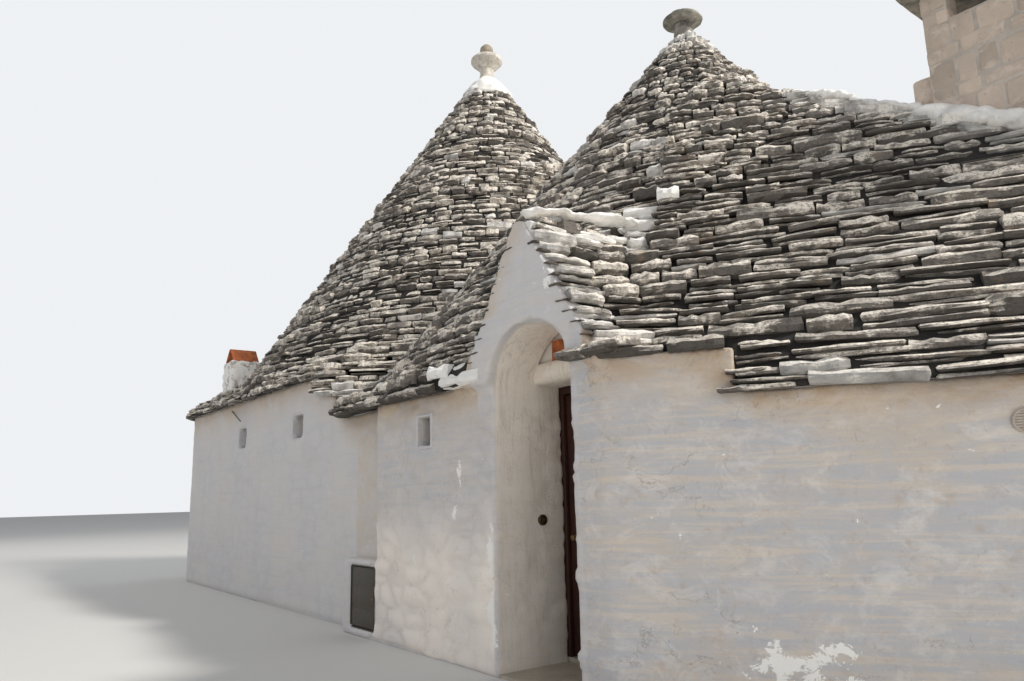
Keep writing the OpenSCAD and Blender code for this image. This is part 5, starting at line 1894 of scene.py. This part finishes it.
class TrulloSmallChimney(bpy.types.Operator):
    """Coats the small chimney and finishes its two leaning tiles"""

    bl_idname = "trullo.small_chimney"
    bl_label = "Small chimney"

    def execute(self, context):
        obj = remesh(copy_of("small_chimney", "small_chimney_coat"), 0.021, 2)

        def body(co):
            return stones(co, (0.17, 0.17, 0.10), 4)

        push(obj, lambda co, no: (body(co) - 0.5) * 0.02 + rough(co, 0.1, 2) * 0.004)
        co = points_of(obj)
        one = np.ones(len(co))
        store_floats(obj, {"stain": 0.25 * one, "joint": 4.0 * (1 - body(co)) ** 2, "flake": 1.2 * one, "uneven": one})
        place(obj, limewash_material("limewash"), "limewash", nodes=("small_chimney",))
        tiles = copy_of("small_chimney_tiles", "leaning_tiles")
        bevelled(tiles, 0.005)
        place(tiles, terracotta_material(), "terracotta", nodes=("small_chimney_tiles",))
        return {"FINISHED"}


# ---------------------------------------------------------------- doors, windows, fittings


class TrulloDoor(bpy.types.Operator):
    """Makes the plank door, its frame, hinges and handle"""

    bl_idname = "trullo.door"
    bl_label = "Entrance door"

    def execute(self, context):
        s = context.scene.trullo_doors
        wood = wood_material("door_wood", s.wood, np.array(s.wood) * 2.0)
        (x0, y0, z0), (x1, y1, z1) = corners("door_leaf")
        y1 = min(y1, y0 + 0.045)
        parts, w = [], (x1 - x0) / s.planks
        for k in range(s.planks):
            low = (x0 + k * w + 0.0015, y0, z0 + 0.003 * (k % 2))
            parts.append(brick(low, (x0 + (k + 1) * w - 0.0015, y1 - 0.012, z1 - 0.002 * (k % 3))))
        for z in (z0 + 0.22, (z0 + z1) / 2, z1 - 0.28):
            parts.append(brick((x0 + 0.02, y1 - 0.0125, z - 0.055), (x1 - 0.02, y1, z + 0.055)))
        leaf = new_mesh("door_planks", *joined(parts))
        bevelled(leaf, 0.004)
        place(leaf, wood, "door_wood", body="door")
        iron = old_iron()
        straps = []
        for z in (0.33, 1.62):
            straps.append(brick((x1 - 0.16, y1 - 0.001, z + 0.02), (x1, y1 + 0.006, z + 0.06)))
        strap = new_mesh("door_straps", *joined(straps))
        place(strap, iron, "iron", body="door")
        knuckles = []
        for z in (0.3305, 1.6205):
            ring = arc_points((0.404, 0.712), 0.011, np.linspace(0, 2 * math.pi, 20, endpoint=False))
            knuckles.append(prism(ring, z, z + 0.09))
        knuckle = new_mesh("door_knuckles", *joined(knuckles))
        shade(knuckle, True, 40)
        place(knuckle, iron, "iron", body="door")
        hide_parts("door_leaf")
        frame_obj = copy_of("door_frame", "door_posts")
        bevelled(frame_obj, 0.006)
        place(frame_obj, wood, "door_wood", nodes=("door_frame",))
        (hx0, _, hz0), (hx1, hy1, hz1) = corners("door_handle")
        hx, hz = (hx0 + hx1) / 2, (hz0 + hz1) / 2
        plate = [(0, 0.0), (0.024, 0.0), (0.024, 0.006), (0.010, 0.010), (0.009, 0.032)]
        grip = [(0.018, 0.036), (0.021, 0.043), (0.015, 0.049), (0, 0.050)]
        knob = lathe("door_knob", [(r, -(hy1 - out)) for r, out in plate + grip], (0, 0), 32)
        turned(knob, facing_front(hx, 0, hz), 50)
        place(knob, old_brass(), "brass", body="door", nodes=("door_handle",))
        dress(iron, "door_hinges")
        return {"FINISHED"}


class TrulloMeter(bpy.types.Operator):
    """Makes the meter cabinet with its ribbed door"""

    bl_idname = "trullo.meter"
    bl_label = "Meter cabinet"

    def execute(self, context):
        s = context.scene.trullo_doors
        paint = metal_material("cabinet_paint", s.metal, (0.16, 0.075, 0.04), 0.15, 0.55, 0.5)
        (x0, y0, z0), (x1, y1, z1) = corners("meter_door")
        parts = [brick((x0, y0 + 0.004, z0), (x1, y1, z1))]
        for k in range(3):
            h = (z1 - z0) / 3
            low = (x0 + 0.02, y0 + 0.001, z0 + k * h + 0.018)
            parts.append(brick(low, (x1 - 0.02, y0 + 0.006, z0 + (k + 1) * h - 0.018)))
        door = new_mesh("meter_leaf", *joined(parts))
        bevelled(door, 0.0012)
        place(door, paint, "cabinet_metal", body="meter_door", nodes=("meter_door",))
        lock = lathe("meter_lock", [(0, 0), (0.012, 0), (0.012, 0.004), (0.006, 0.006), (0, 0.006)], (0, 0), 24)
        turned(lock, facing_front(x1 - 0.035, y0 + 0.002, (z0 + z1) / 2))
        place(lock, old_brass(), "brass", body="meter_door")
        dress(paint, "meter_box")
        return {"FINISHED"}


class TrulloWindows(bpy.types.Operator):
    """Finishes the small windows and the smooth plaster round the middle one"""

    bl_idname = "trullo.windows"
    bl_label = "Windows"

    def execute(self, context):
        wood = wood_material("window_wood", (0.66, 0.61, 0.56), (0.76, 0.72, 0.67))
        frames = copy_of("window_frames", "window_frame_set")
        bevelled(frames, 0.003)
        place(frames, wood, "window_wood", nodes=("window_frames",))
        dress(glass_material(), "window_panes")
        p = context.scene.trullo_walls.proud
        border = []
        (x0, x1), (z0, z1), w = MID_WINDOW_X, MID_WINDOW_Z, 0.028
        for a0, a1, c0, c1 in (
            (x0 - w, x0, z0 - w, z1 + w),
            (x1, x1 + w, z0 - w, z1 + w),
            (x0 - 0.002, x1 + 0.002, z0 - w, z0),
            (x0 - 0.002, x1 + 0.002, z1, z1 + w),
        ):
            border.append(brick((a0, -p - 0.009, c0), (a1, 0.06, c1)))
        obj = remesh(new_mesh("window_border", *joined(border)), 0.007, 3)
        push(obj, lambda co, no: rough(co, 0.08, 3) * 0.002)
        place(obj, limewash_material("limewash_inside", stained=False), "limewash")
        return {"FINISHED"}


class TrulloFittings(bpy.types.Operator):
    """Makes the ventilation grille, the bell push and the iron rod"""

    bl_idname = "trullo.fittings"
    bl_label = "Small fittings"

    def execute(self, context):
        p = context.scene.trullo_walls.proud
        plastic, tree, shader = material("grille_plastic")
        dust = ramp(tree, fine_noise(tree, 30, 5, 0.7), (0.35, 0), (0.7, 1))
        feed(tree, shader, Base_Color=mixed(tree, dust, (0.60, 0.53, 0.46), (0.44, 0.37, 0.30)), Roughness=0.6)
        outside = [(0, -0.012), (0.065, -0.012), (0.065, 0.004), (0.059, 0.009)]
        inside = [(0.054, 0.006), (0.053, -0.004), (0, -0.004)]
        ring = lathe("vent_ring", outside + inside, (0, 0), 48)
        bars = []
        for k in range(-3, 4):
            half = math.sqrt(0.054**2 - (k * 0.014) ** 2) + 0.001
            bars.append(brick((-half, k * 0.014 - 0.0045, -0.005), (half, k * 0.014 + 0.0045, 0.005)))
        bar = new_mesh("vent_bars", *joined(bars))
        bevelled(bar, 0.0015, 1)
        at = wing_at(2.2, -p - 0.010)
        u, n = WING_U, WING_N
        turn = Matrix(((u[0], 0, -n[0], at[0]), (u[1], 0, -n[1], at[1]), (0, 1, 0, 1.54), (0, 0, 0, 1)))
        for obj in (ring, bar):
            turned(obj, turn)
        place(ring, plastic, "grille", nodes=("vent_grille",))
        place(bar, plastic, "grille")
        plate = [(0, -0.02), (0.040, -0.02), (0.040, 0.006), (0.035, 0.013), (0.022, 0.014)]
        button = [(0.018, 0.008), (0.015, 0.019), (0.007, 0.022), (0, 0.022)]
        bell = lathe("bell_plate", plate + button, (0, 0), 40)
        turn = Matrix(((0, 0, 1, -NICHE + p), (1, 0, 0, 0.415), (0, 1, 0, 1.036), (0, 0, 0, 1)))
        turned(bell, turn)
        bell_metal = metal_material("bell_metal", (0.10, 0.065, 0.03), (0.03, 0.02, 0.012), 0.7, 0.6, 0.4)
        place(bell, bell_metal, "brass", nodes=("bell_push",))
        rod = copy_of("eave_rod", "eave_rod_bar")
        shade(rod, True, 40)
        place(rod, old_iron(), "iron", nodes=("eave_rod",))
        return {"FINISHED"}


# ---------------------------------------------------------------- stage


class TrulloStage(bpy.types.Operator):
    """Sets the camera, the pale floor and the soft studio light"""

    bl_idname = "trullo.stage"
    bl_label = "Camera, floor and light"

    def execute(self, context):
        s = context.scene.trullo_stage
        scene = context.scene
        cam = bpy.data.cameras.new("view")
        cam.lens, cam.sensor_width, cam.clip_end = s.lens, 36.0, 400.0
        obj = bpy.data.objects.new("view", cam)
        scene.collection.objects.link(obj)
        fwd = Vector((-math.sin(s.yaw) * math.cos(s.tilt), math.cos(s.yaw) * math.cos(s.tilt), math.sin(s.tilt)))
        right = Vector((math.cos(s.yaw), math.sin(s.yaw), 0))
        up = right.cross(fwd)
        r = right * math.cos(s.roll) - up * math.sin(s.roll)
        u = right * math.sin(s.roll) + up * math.cos(s.roll)
        rows = [(r[k], u[k], -fwd[k], s.eye[k]) for k in range(3)]
        obj.matrix_world = Matrix((*rows, (0, 0, 0, 1)))
        scene.camera = obj
        far, z = 90, -0.002
        floor = new_mesh("floor", [(-far, -far, z), (far, -far, z), (far, far, z), (-far, far, z)], [(0, 1, 2, 3)])
        m, tree, shader = material("floor")
        feed(tree, shader, Base_Color=rgba(s.floor), Roughness=0.9)
        floor.data.materials.append(m)
        world = bpy.data.worlds.new("studio")
        world.use_nodes = True
        scene.world = world
        w = world.node_tree
        w.nodes.clear()
        out = w.nodes.new("ShaderNodeOutputWorld")
        kinds = ("Background", "Background", "MixShader", "LightPath")
        light, back, mix, path = (w.nodes.new("ShaderNode" + kind) for kind in kinds)
        light.inputs[0].default_value, light.inputs[1].default_value = (0.90, 0.94, 1.0, 1), 0.40
        back.inputs[0].default_value, back.inputs[1].default_value = (0.86, 0.88, 0.90, 1), 1.0
        w.links.new(path.outputs["Is Camera Ray"], mix.inputs[0])
        w.links.new(light.outputs[0], mix.inputs[1])
        w.links.new(back.outputs[0], mix.inputs[2])
        w.links.new(mix.outputs[0], out.inputs[0])
        for name, at, target, size, power, colour in (
            ("key", (12, 13, 23), (-2, 2, 2), 4, 7600, (1.0, 0.96, 0.90)),
            ("front", (3, -20, 10), (-2, 2, 2), 14, 300, (0.97, 0.98, 1.0)),
            ("right", (19, -9, 5.5), (-0.5, 0.4, 1.2), 9, 600, (1.0, 0.97, 0.93)),
            ("left", (-24, -6, 14), (-3, 3, 2), 12, 760, (1.0, 0.98, 0.95)),
            ("back", (-14, 22, 14), (-3, 4, 2), 12, 900, (0.95, 0.97, 1.0)),
        ):
            lamp = bpy.data.lights.new(name, "AREA")
            lamp.size, lamp.energy, lamp.color = size, power, colour
            o = bpy.data.objects.new(name, lamp)
            scene.collection.objects.link(o)
            o.location = at
            o.rotation_euler = (Vector(target) - Vector(at)).to_track_quat("-Z", "Y").to_euler()
        scene.view_settings.view_transform = "Standard"
        return {"FINISHED"}


class TrulloPanel(bpy.types.Panel):
    """The pieces of the trullo house"""

    bl_idname = "VIEW3D_PT_trullo"
    bl_label = "Trullo house"
    bl_space_type = "VIEW_3D"
    bl_region_type = "UI"
    bl_category = "Trullo"

    def draw(self, context):
        for settings in ("trullo_roof", "trullo_walls", "trullo_stone", "trullo_doors", "trullo_stage"):
            group = getattr(context.scene, settings)
            box = self.layout.box()
            for key in group.bl_rna.properties.keys():
                if key not in ("rna_type", "name"):
                    box.prop(group, key)
        for op in PIECES:
            self.layout.operator(op.bl_idname)


GROUPS = {
    "trullo_roof": TrulloRoofSettings,
    "trullo_walls": TrulloWallSettings,
    "trullo_stone": TrulloStoneSettings,
    "trullo_doors": TrulloDoorSettings,
    "trullo_stage": TrulloStageSettings,
}
PIECES = (
    TrulloLeftRoof, TrulloRightRoof, TrulloFrontWalls, TrulloOuterWalls, TrulloEntrance, TrulloTops, TrulloLime,
    TrulloLargeChimney, TrulloSmallChimney, TrulloDoor, TrulloMeter, TrulloWindows, TrulloFittings, TrulloStage,
)


def register():
    for name, group in GROUPS.items():
        bpy.utils.register_class(group)
        setattr(bpy.types.Scene, name, bpy.props.PointerProperty(type=group))
    for cls in (*PIECES, TrulloPanel):
        bpy.utils.register_class(cls)


def unregister():
    for cls in (TrulloPanel, *reversed(PIECES)):
        bpy.utils.unregister_class(cls)
    for name, group in GROUPS.items():
        delattr(bpy.types.Scene, name)
        bpy.utils.unregister_class(group)


def main():
    register()
    for op in PIECES:
        area, verb = op.bl_idname.split(".")
        getattr(getattr(bpy.ops, area), verb)()
    bpy.context.view_layer.update()


if __name__ == "__main__":
    main()
